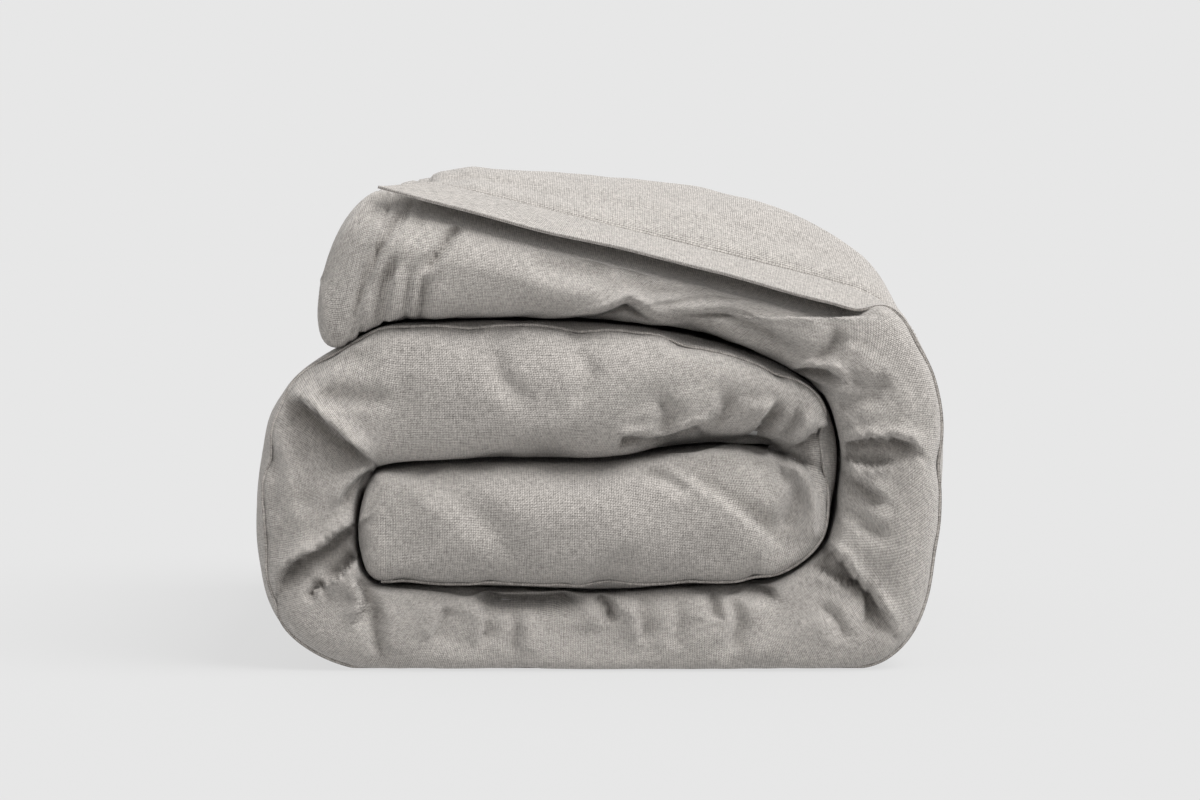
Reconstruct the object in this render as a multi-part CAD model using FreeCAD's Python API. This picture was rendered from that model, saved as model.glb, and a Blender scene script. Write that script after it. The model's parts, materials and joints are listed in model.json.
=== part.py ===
"""A double duvet in its linen cover, folded lengthwise in three and rolled up flat, resting on a floor.

The folded duvet is a strip. Seen from the front it lies in a flat spiral of four layers:
core, second layer, left wall, base, right wall and top layer, from the inside out.
The frame is +X right, +Y back and +Z up, with the origin at the middle of the footprint, on the floor.
All sizes are millimetres.
"""

import FreeCAD, Part
import math
import os

V = FreeCAD.Vector

# ---------------------------------------------------------------- driving dimensions
roll_width = 550.0  # overall, left to right
strip_width = 640.0  # folded strip, front fold to back fold
base_layer = 65.0  # layer heights: the base carries the rest and is pressed flat
core_layer = 102.0
second_layer = 110.0
top_layer = 108.0
left_wall = 80.0
right_wall = 84.0
turn_gap = 3.0  # between one turn of the roll and the next

fold_radius = 30.0  # rounding of the strip's front and back folds
upper_left_radius = 85.0
lower_left_radius = 90.0
lower_right_radius = 60.0
upper_right_radius = 188.0
end_radius = 34.0  # rounding of the strip's two ends
third_end_radius = 12.0  # rounding of the ends of each third of the insert
inner_corner_radius = 4.0  # inner bends of the left wall
inner_corner_foot = 10.0  # added at the foot of the left wall, where the padding is pressed round
top_end_setback = 50.0  # the top layer stops this far short of the left wall

cover_cloth = 0.8  # linen
ticking_cloth = 0.5  # cotton shell of the insert
baffle_cloth = 0.6
cloth_clearance = 0.2
hinge_clearance = 0.5

flange_width = 50.0  # flat hem along the cover's free side edge
flange_thickness = 1.6  # two plies of linen
flange_inset = 58.0  # from the strip's front fold back to the flange's seam
flange_tilt = 17.0  # degrees that the flange falls towards the front, on top
seam_slope = 14.0  # degrees that the seam falls towards the right, on top
shoulder_drop = 56.0  # the front shoulder of the top layer sags this far at the hinge
mitre_start = 128.0  # the flap's seam ends this far left of the middle, where its mitre starts
flap_end_gap = 4.0  # between the loose flap and the flange on the roll
hem_width = 50.0  # flat hem at the cover's opening
facing_thickness = 1.2
facing_spacing = 9.0  # between the two facings of one fold
facing_end_clearance = 1.1  # from the facings to the rounded end of the cover

button_diameter = 15.0
button_thickness = 3.0
button_hole_radius = 1.1
button_hole_offset = 2.2
buttons_per_third = (2, 3, 2)

tie_width = 10.0
tie_thickness = 1.4
tie_length = 34.0
knot_radius = 3.5
label_width = 30.0
label_length = 22.0
label_thickness = 0.6

thirds = ("inner", "middle", "outer")

# ---------------------------------------------------------------- levels of the layers
half_width = roll_width / 2
front = -strip_width / 2
back = strip_width / 2

base_top = base_layer
core_bottom = base_top + turn_gap
core_top = core_bottom + core_layer
second_bottom = core_top + turn_gap
second_top = second_bottom + second_layer
top_bottom = second_top + turn_gap
roll_height = top_bottom + top_layer

left_inside = -half_width + left_wall
core_left = left_inside + turn_gap
right_inside = half_width - right_wall
core_right = right_inside - turn_gap

turn_radius = 0.98 * (second_top - core_bottom) / 2
crease_radius = 0.49 * turn_gap
hinge_x = core_right - turn_radius  # the top layer lifts here, where its straight run starts
crease_x = hinge_x + 0.4 * turn_radius
top_left = -half_width + top_end_setback
seam_y = front + flange_inset
channel_depth = flange_thickness + 2 * cloth_clearance
insert_end = top_left + hem_width + 4.0

# A boundary of the strip is a path of corners (x, z, radius); its first and last points have no radius.
outer_path = [
    (core_left, core_bottom, 0),
    (core_right, core_bottom, turn_radius),
    (core_right, second_top, turn_radius),
    (-half_width, second_top, upper_left_radius),
    (-half_width, 0, lower_left_radius),
    (half_width, 0, lower_right_radius),
    (half_width, roll_height, upper_right_radius),
    (top_left, roll_height, 0),
]
inner_path = [
    (core_left, core_top, 0),
    (crease_x, core_top, crease_radius),
    (crease_x, second_bottom, crease_radius),
    (left_inside, second_bottom, inner_corner_radius),
    (left_inside, base_top, inner_corner_radius + inner_corner_foot),
    (right_inside, base_top, turn_radius + turn_gap),
    (right_inside, top_bottom, turn_radius + turn_gap),
    (top_left, top_bottom, 0),
]


# ---------------------------------------------------------------- paths and outlines
def between(share):
    """The path that lies this share of the way from the inner boundary to the outer one."""
    return [
        tuple(a + share * (b - a) for a, b in zip(inner, outer))
        for inner, outer in zip(inner_path, outer_path)
    ]


def shifted(path, left):
    """The path moved to its left, which is towards the middle of the roll. Every run lies along X or Z."""
    normals = []
    for (x0, z0, _), (x1, z1, _) in zip(path, path[1:]):
        length = math.hypot(x1 - x0, z1 - z0)
        normals.append(((z0 - z1) / length, (x1 - x0) / length))
    moved = []
    for i, (x, z, radius) in enumerate(path):
        before = normals[i - 1] if i else (0, 0)
        after = normals[i] if i < len(normals) else (0, 0)
        new_radius = radius - left if radius else 0
        moved.append((x + left * (before[0] + after[0]), z + left * (before[1] + after[1]), new_radius))
    return moved


def rounded(corners, closed):
    """Edges of straight runs joined by tangent arcs, in the plane y = 0."""
    count = len(corners)
    legs = []
    for i, (x, z, radius) in enumerate(corners):
        here = V(x, 0, z)
        if radius <= 0 or (not closed and i in (0, count - 1)):
            legs.append((here, None, here))
            continue
        last = corners[i - 1]
        following = corners[(i + 1) % count]
        to_last = (V(last[0], 0, last[1]) - here).normalize()
        to_next = (V(following[0], 0, following[1]) - here).normalize()
        half_turn = to_last.getAngle(to_next) / 2
        reach = radius / math.tan(half_turn)
        middle = (to_last + to_next).normalize() * (radius / math.sin(half_turn) - radius)
        legs.append((here + to_last * reach, here + middle, here + to_next * reach))
    edges = []
    for i, (start, mid, end) in enumerate(legs):
        if mid is not None:
            edges.append(Part.Arc(start, mid, end).toShape())
        if closed or i < count - 1:
            nearby = legs[(i + 1) % count][0]
            if end.distanceToPoint(nearby) > 1e-6:
                edges.append(Part.LineSegment(end, nearby).toShape())
    return edges


def prism(corners, y0, y1):
    """The closed rounded outline, extruded from y0 to y1."""
    wire = Part.Wire(Part.__sortEdges__(rounded(corners, True)))
    solid = Part.Face(wire).extrude(V(0, y1 - y0, 0))
    solid.translate(V(0, y0, 0))
    return solid


def band(inside, outside, y0, y1, end_corner=0.0):
    """The space between two paths, as a solid. end_corner rounds the four corners of its two ends."""
    ends = [(path[0][:2] + (end_corner,), path[-1][:2] + (end_corner,)) for path in (inside, outside)]
    (inside_start, inside_end), (outside_start, outside_end) = ends
    outline = [outside_start] + outside[1:-1] + [outside_end]
    outline += [inside_end] + inside[-2:0:-1] + [inside_start]
    return prism(outline, y0, y1)


def lengthened(path, extra):
    """The path with both ends moved out by extra, along X. Both ends of every path face left."""
    first, last = path[0], path[-1]
    return [(first[0] - extra, first[1], 0)] + path[1:-1] + [(last[0] - extra, last[1], 0)]


def block(x0, x1, y0, y1, z0, z1):
    return Part.makeBox(x1 - x0, y1 - y0, z1 - z0, V(x0, y0, z0))


# ---------------------------------------------------------------- the sagging front shoulder
def shoulder_placement():
    """A frame on the shoulder: U runs down along the seam, V back across the flange, and W is the normal."""
    slope = math.radians(seam_slope)
    tilt = math.radians(flange_tilt)
    along = V(math.cos(slope), 0, -math.sin(slope))
    uphill = V(0, math.cos(tilt), math.sin(tilt))
    normal = along.cross(uphill).normalize()
    across = normal.cross(along)
    turn = FreeCAD.Rotation(along, across, normal, "ZXY")
    return FreeCAD.Placement(V(hinge_x, seam_y, roll_height - shoulder_drop), turn)


def on_shoulder(corners, w0, w1):
    """A plate with these (u, v) corners on the shoulder, from height w0 to w1 above it."""
    points = [V(u, v, w0) for u, v in corners]
    plate = Part.Face(Part.makePolygon(points + points[:1])).extrude(V(0, 0, w1 - w0))
    plate.Placement = shoulder_placement()
    return plate


def above_shoulder(height):
    """Everything higher than this above the shoulder's plane."""
    far = 2 * strip_width
    return on_shoulder([(-far, -far), (far, -far), (far, far), (-far, far)], height, height + far)


# ---------------------------------------------------------------- the padded strip
def envelope(inset):
    """The whole rolled strip, this far inside its outer skin, with rounded folds and the flange's shallow step."""
    inside = lengthened(shifted(inner_path, -inset), -inset)
    outside = lengthened(shifted(outer_path, inset), -inset)
    body = band(inside, outside, front + inset, back - inset, end_radius - inset)
    rims = [
        edge
        for edge in body.Edges
        if all(abs(abs(v.Y) - (back - inset)) < 1e-6 for v in edge.Vertexes)
        and abs(edge.BoundBox.YLength) < 1e-6
    ]
    body = body.makeFillet(fold_radius - inset, rims)
    body = body.cut(above_shoulder(-inset))
    step_outside = lengthened(shifted(outer_path, -turn_gap / 3), turn_gap / 3)
    step_inside = lengthened(shifted(outer_path, channel_depth + inset), turn_gap / 3)
    step = band(step_inside, step_outside, front - 1, seam_y + inset)
    return body.cut(step)


def third_space(number, inset):
    """One third of the strip's thickness, this far clear of the cover sheets beside it."""
    slab = cover_cloth + inset
    low = between(number / 3)
    high = between((number + 1) / 3)
    inside = shifted(low, -slab) if number else shifted(low, turn_gap / 3)
    outside = shifted(high, slab) if number < 2 else shifted(high, -turn_gap / 3)
    extra = turn_gap / 3
    return band(lengthened(inside, extra), lengthened(outside, extra), front, back, third_end_radius)


top_zone = block(-half_width - 10, hinge_x, front - 5, back + 5, top_bottom - turn_gap / 2, roll_height + 10)
top_zone_clear = block(
    -half_width - 10, hinge_x - hinge_clearance, front - 5, back + 5, top_bottom - turn_gap / 2, roll_height + 10
)
insert_limit = block(
    insert_end, hinge_x - hinge_clearance, front, back, top_bottom - turn_gap / 2, roll_height
)


def cross_baffles(thickness):
    """Walls across the strip that part the rows of boxes, one on each straight run of the roll."""
    half = thickness / 2
    reach = turn_gap / 3
    spots = [
        (0.55 * hinge_x, core_bottom, core_top),
        (-0.1 * half_width, second_bottom, second_top),
        (-0.05 * half_width, 0, base_top),
    ]
    walls = [block(x - half, x + half, front, back, z0 - reach, z1 + reach) for x, z0, z1 in spots]
    left_z = 0.65 * core_top
    right_z = (core_top + second_bottom) / 2
    walls.append(block(-half_width, left_inside + reach, front, back, left_z - half, left_z + half))
    walls.append(block(right_inside - reach, half_width, front, back, right_z - half, right_z + half))
    return walls


def long_baffle(thickness):
    """The wall along the middle of each third, which parts its two columns of boxes."""
    half = thickness / 2
    return block(-half_width - 1, half_width + 1, -half, half, -1, roll_height + 1)


def split(shape):
    """The piece that stays with the roll, and the piece that lifts with the top layer."""
    return shape.cut(top_zone), shape.common(top_zone_clear)


def solids_of(shape):
    """The shape's solids as one compound, without slivers."""
    return Part.makeCompound([s for s in shape.Solids if s.Volume > 1.0])


def padded_layers(parts):
    """The cover, its inner sheets, and the insert's shell, baffles and filling, in both bodies."""
    skin = envelope(0).cut(envelope(cover_cloth))
    parts["cover_face_panel_roll"], parts["cover_face_panel_top"] = split(skin)

    pocket = envelope(cover_cloth + cloth_clearance)
    inner_sheet = band(
        shifted(between(1 / 3), cover_cloth), shifted(between(1 / 3), -cover_cloth), front + fold_radius, back
    )
    outer_sheet = band(
        shifted(between(2 / 3), cover_cloth), shifted(between(2 / 3), -cover_cloth), front, back - fold_radius
    )
    for name, sheet in (("first_fold", inner_sheet), ("second_fold", outer_sheet)):
        laid = pocket.common(sheet)
        parts[f"cover_reverse_panel_{name}_roll"], parts[f"cover_reverse_panel_{name}_top"] = split(laid)

    shell_outside = envelope(cover_cloth + cloth_clearance)
    shell_inside = envelope(cover_cloth + cloth_clearance + ticking_cloth)
    fill_space = envelope(cover_cloth + 2 * cloth_clearance + ticking_cloth)
    slots = Part.makeCompound(
        cross_baffles(baffle_cloth + 2 * cloth_clearance) + [long_baffle(baffle_cloth + 2 * cloth_clearance)]
    )
    walls = long_baffle(baffle_cloth).fuse(cross_baffles(baffle_cloth))
    for number, third in enumerate(thirds):
        outside = shell_outside.common(third_space(number, cloth_clearance))
        inside = shell_inside.common(third_space(number, cloth_clearance + ticking_cloth))
        room = fill_space.common(third_space(number, 2 * cloth_clearance + ticking_cloth))
        roll_outside, _ = split(outside)
        roll_inside, _ = split(inside)
        roll_room, _ = split(room)
        parts[f"insert_ticking_{third}_third_roll"] = roll_outside.cut(roll_inside)
        parts[f"insert_filling_{third}_third_roll"] = roll_room.cut(slots)
        parts[f"insert_baffles_{third}_third_roll"] = roll_room.common(walls)
        top_outside = outside.common(insert_limit)
        top_room = top_outside.common(inside)
        margin = ticking_cloth + cloth_clearance
        core = block(
            insert_end + margin, hinge_x - hinge_clearance - margin, front, back, top_bottom - 1, roll_height
        )
        parts[f"insert_ticking_{third}_third_top"] = top_outside.cut(
            top_room.common(
                block(
                    insert_end + ticking_cloth,
                    hinge_x - hinge_clearance - ticking_cloth,
                    front,
                    back,
                    top_bottom - 1,
                    roll_height,
                )
            )
        )
        filling = room.common(core)
        parts[f"insert_filling_{third}_third_top"] = filling.cut(slots)
        parts[f"insert_baffles_{third}_third_top"] = filling.common(long_baffle(baffle_cloth))


# ---------------------------------------------------------------- hems, buttons and small tapes
def flanges(parts):
    """The flat two-ply hem along the cover's free edge: one length on the roll, and the loose flap on top."""
    outside = shifted(outer_path, cloth_clearance)
    inside = shifted(outer_path, cloth_clearance + flange_thickness)
    wrapped = band(inside, outside, seam_y - flange_width, seam_y - cloth_clearance)
    wrapped = wrapped.cut(above_shoulder(-turn_gap)).cut(top_zone)
    far = 2 * roll_width
    plate = [
        (flap_end_gap, -flange_width),
        (far, -flange_width),
        (far, -cloth_clearance),
        (flap_end_gap, -cloth_clearance),
    ]
    limit = prism([corner for corner in shifted(outer_path, cloth_clearance)[3:]], front, back)
    flat = on_shoulder(plate, cloth_clearance, cloth_clearance + flange_thickness).common(limit)
    parts["side_flange_roll"] = Part.makeCompound([wrapped, flat])
    seam_end = -(mitre_start + hinge_x) / math.cos(math.radians(seam_slope))
    flap = [
        (seam_end, -cloth_clearance),
        (seam_end - flange_width, -flange_width),
        (-hinge_clearance, -flange_width),
        (-hinge_clearance, -cloth_clearance),
    ]
    low = hinge_clearance
    parts["side_flange_flap"] = on_shoulder(flap, low, low + flange_thickness)


def third_middle(number):
    """Height of the middle of one third in the top layer."""
    return top_bottom + top_layer * (number + 0.5) / 3


def button(x, y, z):
    """A flat four-hole button lying level."""
    disc = Part.makeCylinder(button_diameter / 2, button_thickness, V(x, y, z - button_thickness / 2))
    rim = disc.Edges[0]
    disc = disc.makeFillet(0.3 * button_thickness, [e for e in disc.Edges if e.Length > 2 * rim.Length * 0.49])
    for dx in (-button_hole_offset, button_hole_offset):
        for dy in (-button_hole_offset, button_hole_offset):
            hole = Part.makeCylinder(
                button_hole_radius, 2 * button_thickness, V(x + dx, y + dy, z - button_thickness)
            )
            disc = disc.cut(hole)
    return disc


def end_curve(height):
    """How far the inside of the cover's rounded left end has curved to the right at this height in the top layer."""
    rise = max(0.0, height - (roll_height - end_radius), top_bottom + end_radius - height)
    return end_radius - math.sqrt((end_radius - cover_cloth) ** 2 - rise ** 2)


def opening(parts):
    """The cover's opening: a pair of facings in each third, buttoned together, in the unfilled hem."""
    edge = facing_spacing / 2 + facing_thickness
    curved_in = max(end_curve(third_middle(number) + side * edge) for number in range(3) for side in (-1, 1))
    start = top_left + curved_in + facing_end_clearance
    end = top_left + hem_width
    reach = back - fold_radius - 6.0
    upper, lower, buttons = [], [], []
    for number, count in enumerate(buttons_per_third):
        middle = third_middle(number)
        gap = facing_spacing / 2
        upper.append(block(start, end, -reach, reach, middle + gap, middle + gap + facing_thickness))
        lower.append(block(start, end, -reach, reach, middle - gap - facing_thickness, middle - gap))
        for i in range(count):
            y = reach * (2 * (i + 0.5) / count - 1) * 0.8
            buttons.append(button((start + end) / 2, y, middle))
    parts["opening_facing_upper"] = Part.makeCompound(upper)
    parts["opening_facing_lower"] = Part.makeCompound(lower)
    parts["closure_buttons"] = Part.makeCompound(buttons)


def tape_loop(x, y, z, length):
    """A tape loop that lies level, open in the middle, with its stitched ends to the right."""
    ring = block(x, x + length, y - tie_width / 2, y + tie_width / 2, z - 2 * tie_thickness, z + 2 * tie_thickness)
    hole = block(
        x + tie_thickness,
        x + length - 2 * tie_thickness,
        y - tie_width,
        y + tie_width,
        z - tie_thickness,
        z + tie_thickness,
    )
    return ring.cut(hole)


def tape_tie(x, y, z):
    """A cover tie, with its tails lying level to the right of a knot that lies across them."""
    half = tie_thickness / 2
    tails = block(x, x + tie_length / 2, y - tie_width / 2, y + tie_width / 2, z - half, z + half)
    knot = Part.makeCylinder(knot_radius, tie_width + 2.0, V(x, y - tie_width / 2 - 1.0, z), V(0, 1, 0))
    return knot.fuse(tails)


def corner_tapes(parts):
    """The cover's corner ties and the insert's corner loops, at the two corners of the opening end."""
    ties, loops = [], []
    for side, number in ((-1, 2), (1, 0)):
        y = side * (back - fold_radius - 14.0)
        middle = third_middle(number)
        ties.append(tape_tie(top_left + 16.0, y, middle))
        loops.append(tape_loop(top_left + 36.0, y, middle, insert_end - top_left - 36.0 - cloth_clearance))
    parts["cover_corner_ties"] = Part.makeCompound(ties)
    parts["insert_corner_loops"] = Part.makeCompound(loops)


def care_label(parts):
    """A blank label sewn inside the opening, on the middle third's lower facing."""
    z = third_middle(1) - facing_spacing / 2
    parts["care_label"] = block(
        top_left + 14.0, top_left + 14.0 + label_length, -label_width - 20, -20, z, z + label_thickness
    )


def save(parts):
    os.makedirs("parts", exist_ok=True)
    for name, shape in sorted(parts.items()):
        solid = solids_of(shape)
        assert solid.Solids and solid.isValid(), f"{name} has no valid solid"
        solid.exportStep(f"parts/{name}.step")
        print(f"{name}: {len(solid.Solids)} solids, {solid.Volume / 1e6:.3f} litres")


made = {}
padded_layers(made)
flanges(made)
opening(made)
corner_tapes(made)
care_label(made)
save(made)
pivot = shoulder_placement().multVec(V(0, 0, hinge_clearance + flange_thickness / 2))
print(f"roll {roll_width:.0f} x {strip_width:.0f} x {roll_height:.0f} mm")
print(f"top layer turns about x {hinge_x:.2f}, z {roll_height:.2f}, along +Y")
print(f"flap turns about {pivot.x:.3f}, {pivot.y:.3f}, {pivot.z:.3f}, {seam_slope:.0f} degrees up from -X")
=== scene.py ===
# %% [markdown]
# # A rolled duvet in a washed-linen cover
#
# A double duvet is folded lengthwise in three and rolled up flat. It lies on its side on a studio
# floor, so its front shows the folds of the strip as a spiral. The CAD model already fixes its
# size, its bodies and its joints. Here each part gets its real look: the slack linen, the flat hem
# with its stitches, and the quilted insert.

import json
import math

import bmesh
import bpy
import numpy as np
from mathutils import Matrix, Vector


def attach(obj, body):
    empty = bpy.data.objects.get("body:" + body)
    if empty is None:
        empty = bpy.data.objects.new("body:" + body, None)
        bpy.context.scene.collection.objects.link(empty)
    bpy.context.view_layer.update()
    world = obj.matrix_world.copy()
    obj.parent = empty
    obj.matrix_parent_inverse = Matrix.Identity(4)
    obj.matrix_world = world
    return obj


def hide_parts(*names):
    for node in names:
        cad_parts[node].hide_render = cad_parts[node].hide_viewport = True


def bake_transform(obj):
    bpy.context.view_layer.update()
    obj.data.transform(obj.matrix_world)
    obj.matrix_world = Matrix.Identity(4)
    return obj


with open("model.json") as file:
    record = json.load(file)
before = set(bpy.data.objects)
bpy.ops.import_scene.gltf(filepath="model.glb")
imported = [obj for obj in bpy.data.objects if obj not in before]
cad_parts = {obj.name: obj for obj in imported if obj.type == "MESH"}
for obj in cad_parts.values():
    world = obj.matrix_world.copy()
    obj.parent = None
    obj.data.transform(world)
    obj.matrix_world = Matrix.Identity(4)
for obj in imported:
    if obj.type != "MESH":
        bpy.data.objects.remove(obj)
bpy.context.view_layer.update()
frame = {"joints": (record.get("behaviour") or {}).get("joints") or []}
MM = 0.001

# %% [markdown]
# ## The path of the strip
#
# A maker would fold the real duvet by hand, and its layers would settle under their own weight.
# Each station below is one place along the strip, from the core at the inside of the roll to the
# free end on top. It gives the inner side of the padding, its outer side near the front fold, and
# its outer side further back, in millimetres.

# %% Stations along the strip
# inner x, inner z, outer x, outer z, and the rise of the outer side behind the front shoulder: x, z
STATIONS = [
    (-176, 162, -178, 70, 0, 0),
    (-144, 165.5, -144, 68, 0, 0),
    (-80, 167.5, -80, 65.5, 0, 0),
    (0, 167.5, 0, 62.5, 0, 0),
    (58, 174, 62, 67, 0, 0),
    (100, 178, 118, 69.5, 0, 0),
    (128, 177, 152, 78, 0, 0),
    (142, 175, 179, 99, 0, 0),
    (148, 174.5, 190, 138, 0, 0),
    (146, 175.5, 191, 185, 0, 0),
    (138, 177, 180, 221, 0, 0),
    (116, 179.5, 150, 243, 0, 0),
    (74, 179, 108, 259, 0, 0),
    (0, 169.5, 30, 275, 0, 0),
    (-64, 168.5, -48, 280, 0, 0),
    (-128, 168, -124, 279.5, 0, 0),
    (-166, 167, -180, 275, 0, 0),
    (-178, 165, -216, 257.5, 0, 0),
    (-183, 160, -248, 231, 0, 0),
    (-187, 150, -265, 204, 0, 0),
    (-194.5, 133, -273, 165, 0, 0),
    (-195.5, 111, -275, 127, 0, 0),
    (-194, 90, -272, 87, 0, 0),
    (-189, 77, -264, 55, 0, 0),
    (-181, 68.5, -250, 31, 0, 0),
    (-168, 66.5, -230, 15, 0, 0),
    (-148, 66, -200, 4, 0, 0),
    (-118, 65, -144, 0, 0, 0),
    (-64, 62.5, -64, 0, 0, 0),
    (0, 60.5, 0, 0, 0, 0),
    (72, 65.5, 72, 0, 0, 0),
    (128, 69, 144, 0, 0, 0),
    (158, 79, 200, 2, 0, 0),
    (181, 97.5, 230, 10, 0, 0),
    (190, 119, 249, 29, 0, 0),
    (192.5, 142, 262, 62, 0, 0),
    (194.5, 163, 270, 103, 0, 0),
    (193.5, 188, 274, 151, 0, 0),
    (189, 206, 274, 191, 0, 0),
    (181, 221, 270, 224, 0, 0),
    (169.5, 233, 259, 257, 3, 3),
    (151, 245, 236, 288, 8, 8),
    (120, 258, 195, 304, 11, 24),
    (80, 272, 148, 318, 9, 38),
    (40, 277.5, 92, 331, 4, 40),
    (0, 281, 40, 343, 0, 35),
    (-48, 282.5, -25, 357, 0, 25),
    (-96, 281.5, -85, 370, 0, 14),
    (-144, 280.5, -132, 381, 0, 6),
    (-184, 276.5, -160, 387, 0, 4),
    (-206, 264, -180, 386, 0, 2),
]
ROW_STEP = 6.8
FOLD_START = 278.0  # the front and back folds begin this far from the middle of the strip
FOLD_DEPTH = 40.0
FOLD_POWER = 4.0  # 2 is a round fold, and more is a squarer one
LAYER_GAP = 0.5
END_CAPS = (17.0, 32.0)  # how far the pillow ends stand out, at the core and at the opening
END_ROWS = 6

# %% [markdown]
# ## A smooth strip through the stations
#
# Cubic curves through the stations give evenly spaced rows. The strip's section is a flat sandwich
# with a squarish fold at the front and at the back, read as columns.

# %% Helpers for curves and lengths
def curve_through(knots, values, at):
    """A smooth curve through the values at the knots, read at other places."""
    values = np.asarray(values, float)
    slope = np.gradient(values, knots, axis=0)
    i = np.clip(np.searchsorted(knots, at, side="right") - 1, 0, len(knots) - 2)
    span = (knots[i + 1] - knots[i])[:, None]
    u = (at - knots[i])[:, None] / span
    start = (2 * u**3 - 3 * u**2 + 1) * values[i] + (u**3 - 2 * u**2 + u) * span * slope[i]
    finish = (-2 * u**3 + 3 * u**2) * values[i + 1] + (u**3 - u**2) * span * slope[i + 1]
    return start + finish


def length_along(points):
    steps = np.linalg.norm(np.diff(points, axis=0), axis=1)
    return np.concatenate([[0.0], np.cumsum(steps)])


def smooth(edge0, edge1, value):
    u = np.clip((value - edge0) / (edge1 - edge0), 0, 1)
    return u * u * (3 - 2 * u)

# %% [markdown]
# Rows are spaced evenly along the middle of the strip, so that the cloth's faces stay nearly
# square.

# %% Rows along the strip
def strip_rows(step):
    """Inner points, outer points and shoulder rises of evenly spaced rows along the strip."""
    table = np.array(STATIONS, float)
    knots = 0.4 * length_along(table[:, 0:2]) + 0.6 * length_along(table[:, 2:4])
    fine = np.linspace(0, knots[-1], 4000)
    dense = curve_through(knots, table, fine)
    travel = 0.35 * length_along(dense[:, 0:2]) + 0.65 * length_along(dense[:, 2:4])
    count = int(round(travel[-1] / step)) + 1
    at = np.interp(np.linspace(0, travel[-1], count), travel, fine)
    rows = curve_through(knots, table, at)
    return rows[:, 0:2], rows[:, 2:4], rows[:, 4:6]

# %% [markdown]
# The columns go round the section. Each column on the inner side pairs with one on the outer side.

# %% Columns round the strip
def section_columns(layer=105.0, fine_step=6.2, coarse_step=22.0, power=FOLD_POWER):
    """Half of the strip's section, from the middle of its outer side, round the front fold, to its inner side.

    Each column is a share n of the thickness, 1 outside and 0 inside, and a distance y from the middle."""
    angle = np.linspace(math.pi / 2, -math.pi / 2, 721)
    sine, cosine = np.sin(angle), np.cos(angle)
    n = 0.5 + 0.5 * np.sign(sine) * np.abs(sine) ** (2 / power)
    y = FOLD_START + FOLD_DEPTH * np.abs(cosine) ** (2 / power)
    travel = length_along(np.column_stack([n * layer, y]))
    count = int(round(travel[-1] / fine_step)) + 1
    at = np.linspace(0, travel[-1], count)
    fold = np.column_stack([np.interp(at, travel, n), np.interp(at, travel, y)])
    near = FOLD_START - 70.0
    flat = np.concatenate(
        [
            np.linspace(0, near, int(near / coarse_step) + 1),
            np.linspace(near, FOLD_START, int(70.0 / fine_step) + 1)[1:-1],
        ]
    )
    outer = np.column_stack([np.ones_like(flat), flat])
    inner = np.column_stack([np.zeros_like(flat), flat])[::-1]
    return np.vstack([outer, fold, inner])


half = section_columns()
front_half = half * [1, -1]
back_half = half[::-1][1:-1]
SECTION = np.vstack([front_half, back_half])
inner_line, outer_line, rises = strip_rows(ROW_STEP)
middle_line = (inner_line + outer_line) / 2
print("rows", len(inner_line), "columns", len(SECTION))
print("strip length mm", round(length_along(middle_line)[-1]))

# %% [markdown]
# ## The seam of the flat hem
#
# The cover's free edge ends in a flat hem, two plies of linen wide and without padding. On top of
# the roll its seam runs down to the right over the slack front shoulder. The hinge of the hem's
# loose flap lies on that seam, so its place is read from the frame, and the shoulder is raised to
# meet it.

# %% Read the seam from the flap's hinge
flap_joint = next(j for j in frame["joints"] if j["name"] == "flange_flap_lift")
SEAM_X, SEAM_Y, SEAM_Z = (value / MM for value in flap_joint["pos_m"])
SEAM_FALL = flap_joint["axis"][2] / -flap_joint["axis"][0]
SEAM_REACH = 38.0  # the shoulder rises to the seam over this distance
PUFF = 6.0  # the padding stands this far above the seam, just behind it
SEAM_TOP = 386.0  # the shoulder rises no higher than this


def seam_height(x):
    return SEAM_Z - SEAM_FALL * (x - SEAM_X)


print("seam at y", round(SEAM_Y, 1), "falls", round(SEAM_FALL, 3))

# %% [markdown]
# ## The padded strip
#
# The cover is one long bag, so its mesh is one closed grid: rows run along the strip and columns
# run round it. Each end closes like the end of a pillow, where the two sides meet in one line.

# %% Points of the closed grid
def shoulder_rise(outer):
    """How far the outer side has to rise to meet the seam, in each row. It is zero away from the top layer."""
    short = np.clip(np.minimum(seam_height(outer[:, 0]), SEAM_TOP) - 1.5 - outer[:, 1], 0, 16)
    on_top = smooth(246, 205, outer[:, 0]) * (outer[:, 1] > 285)
    return short * on_top


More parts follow.
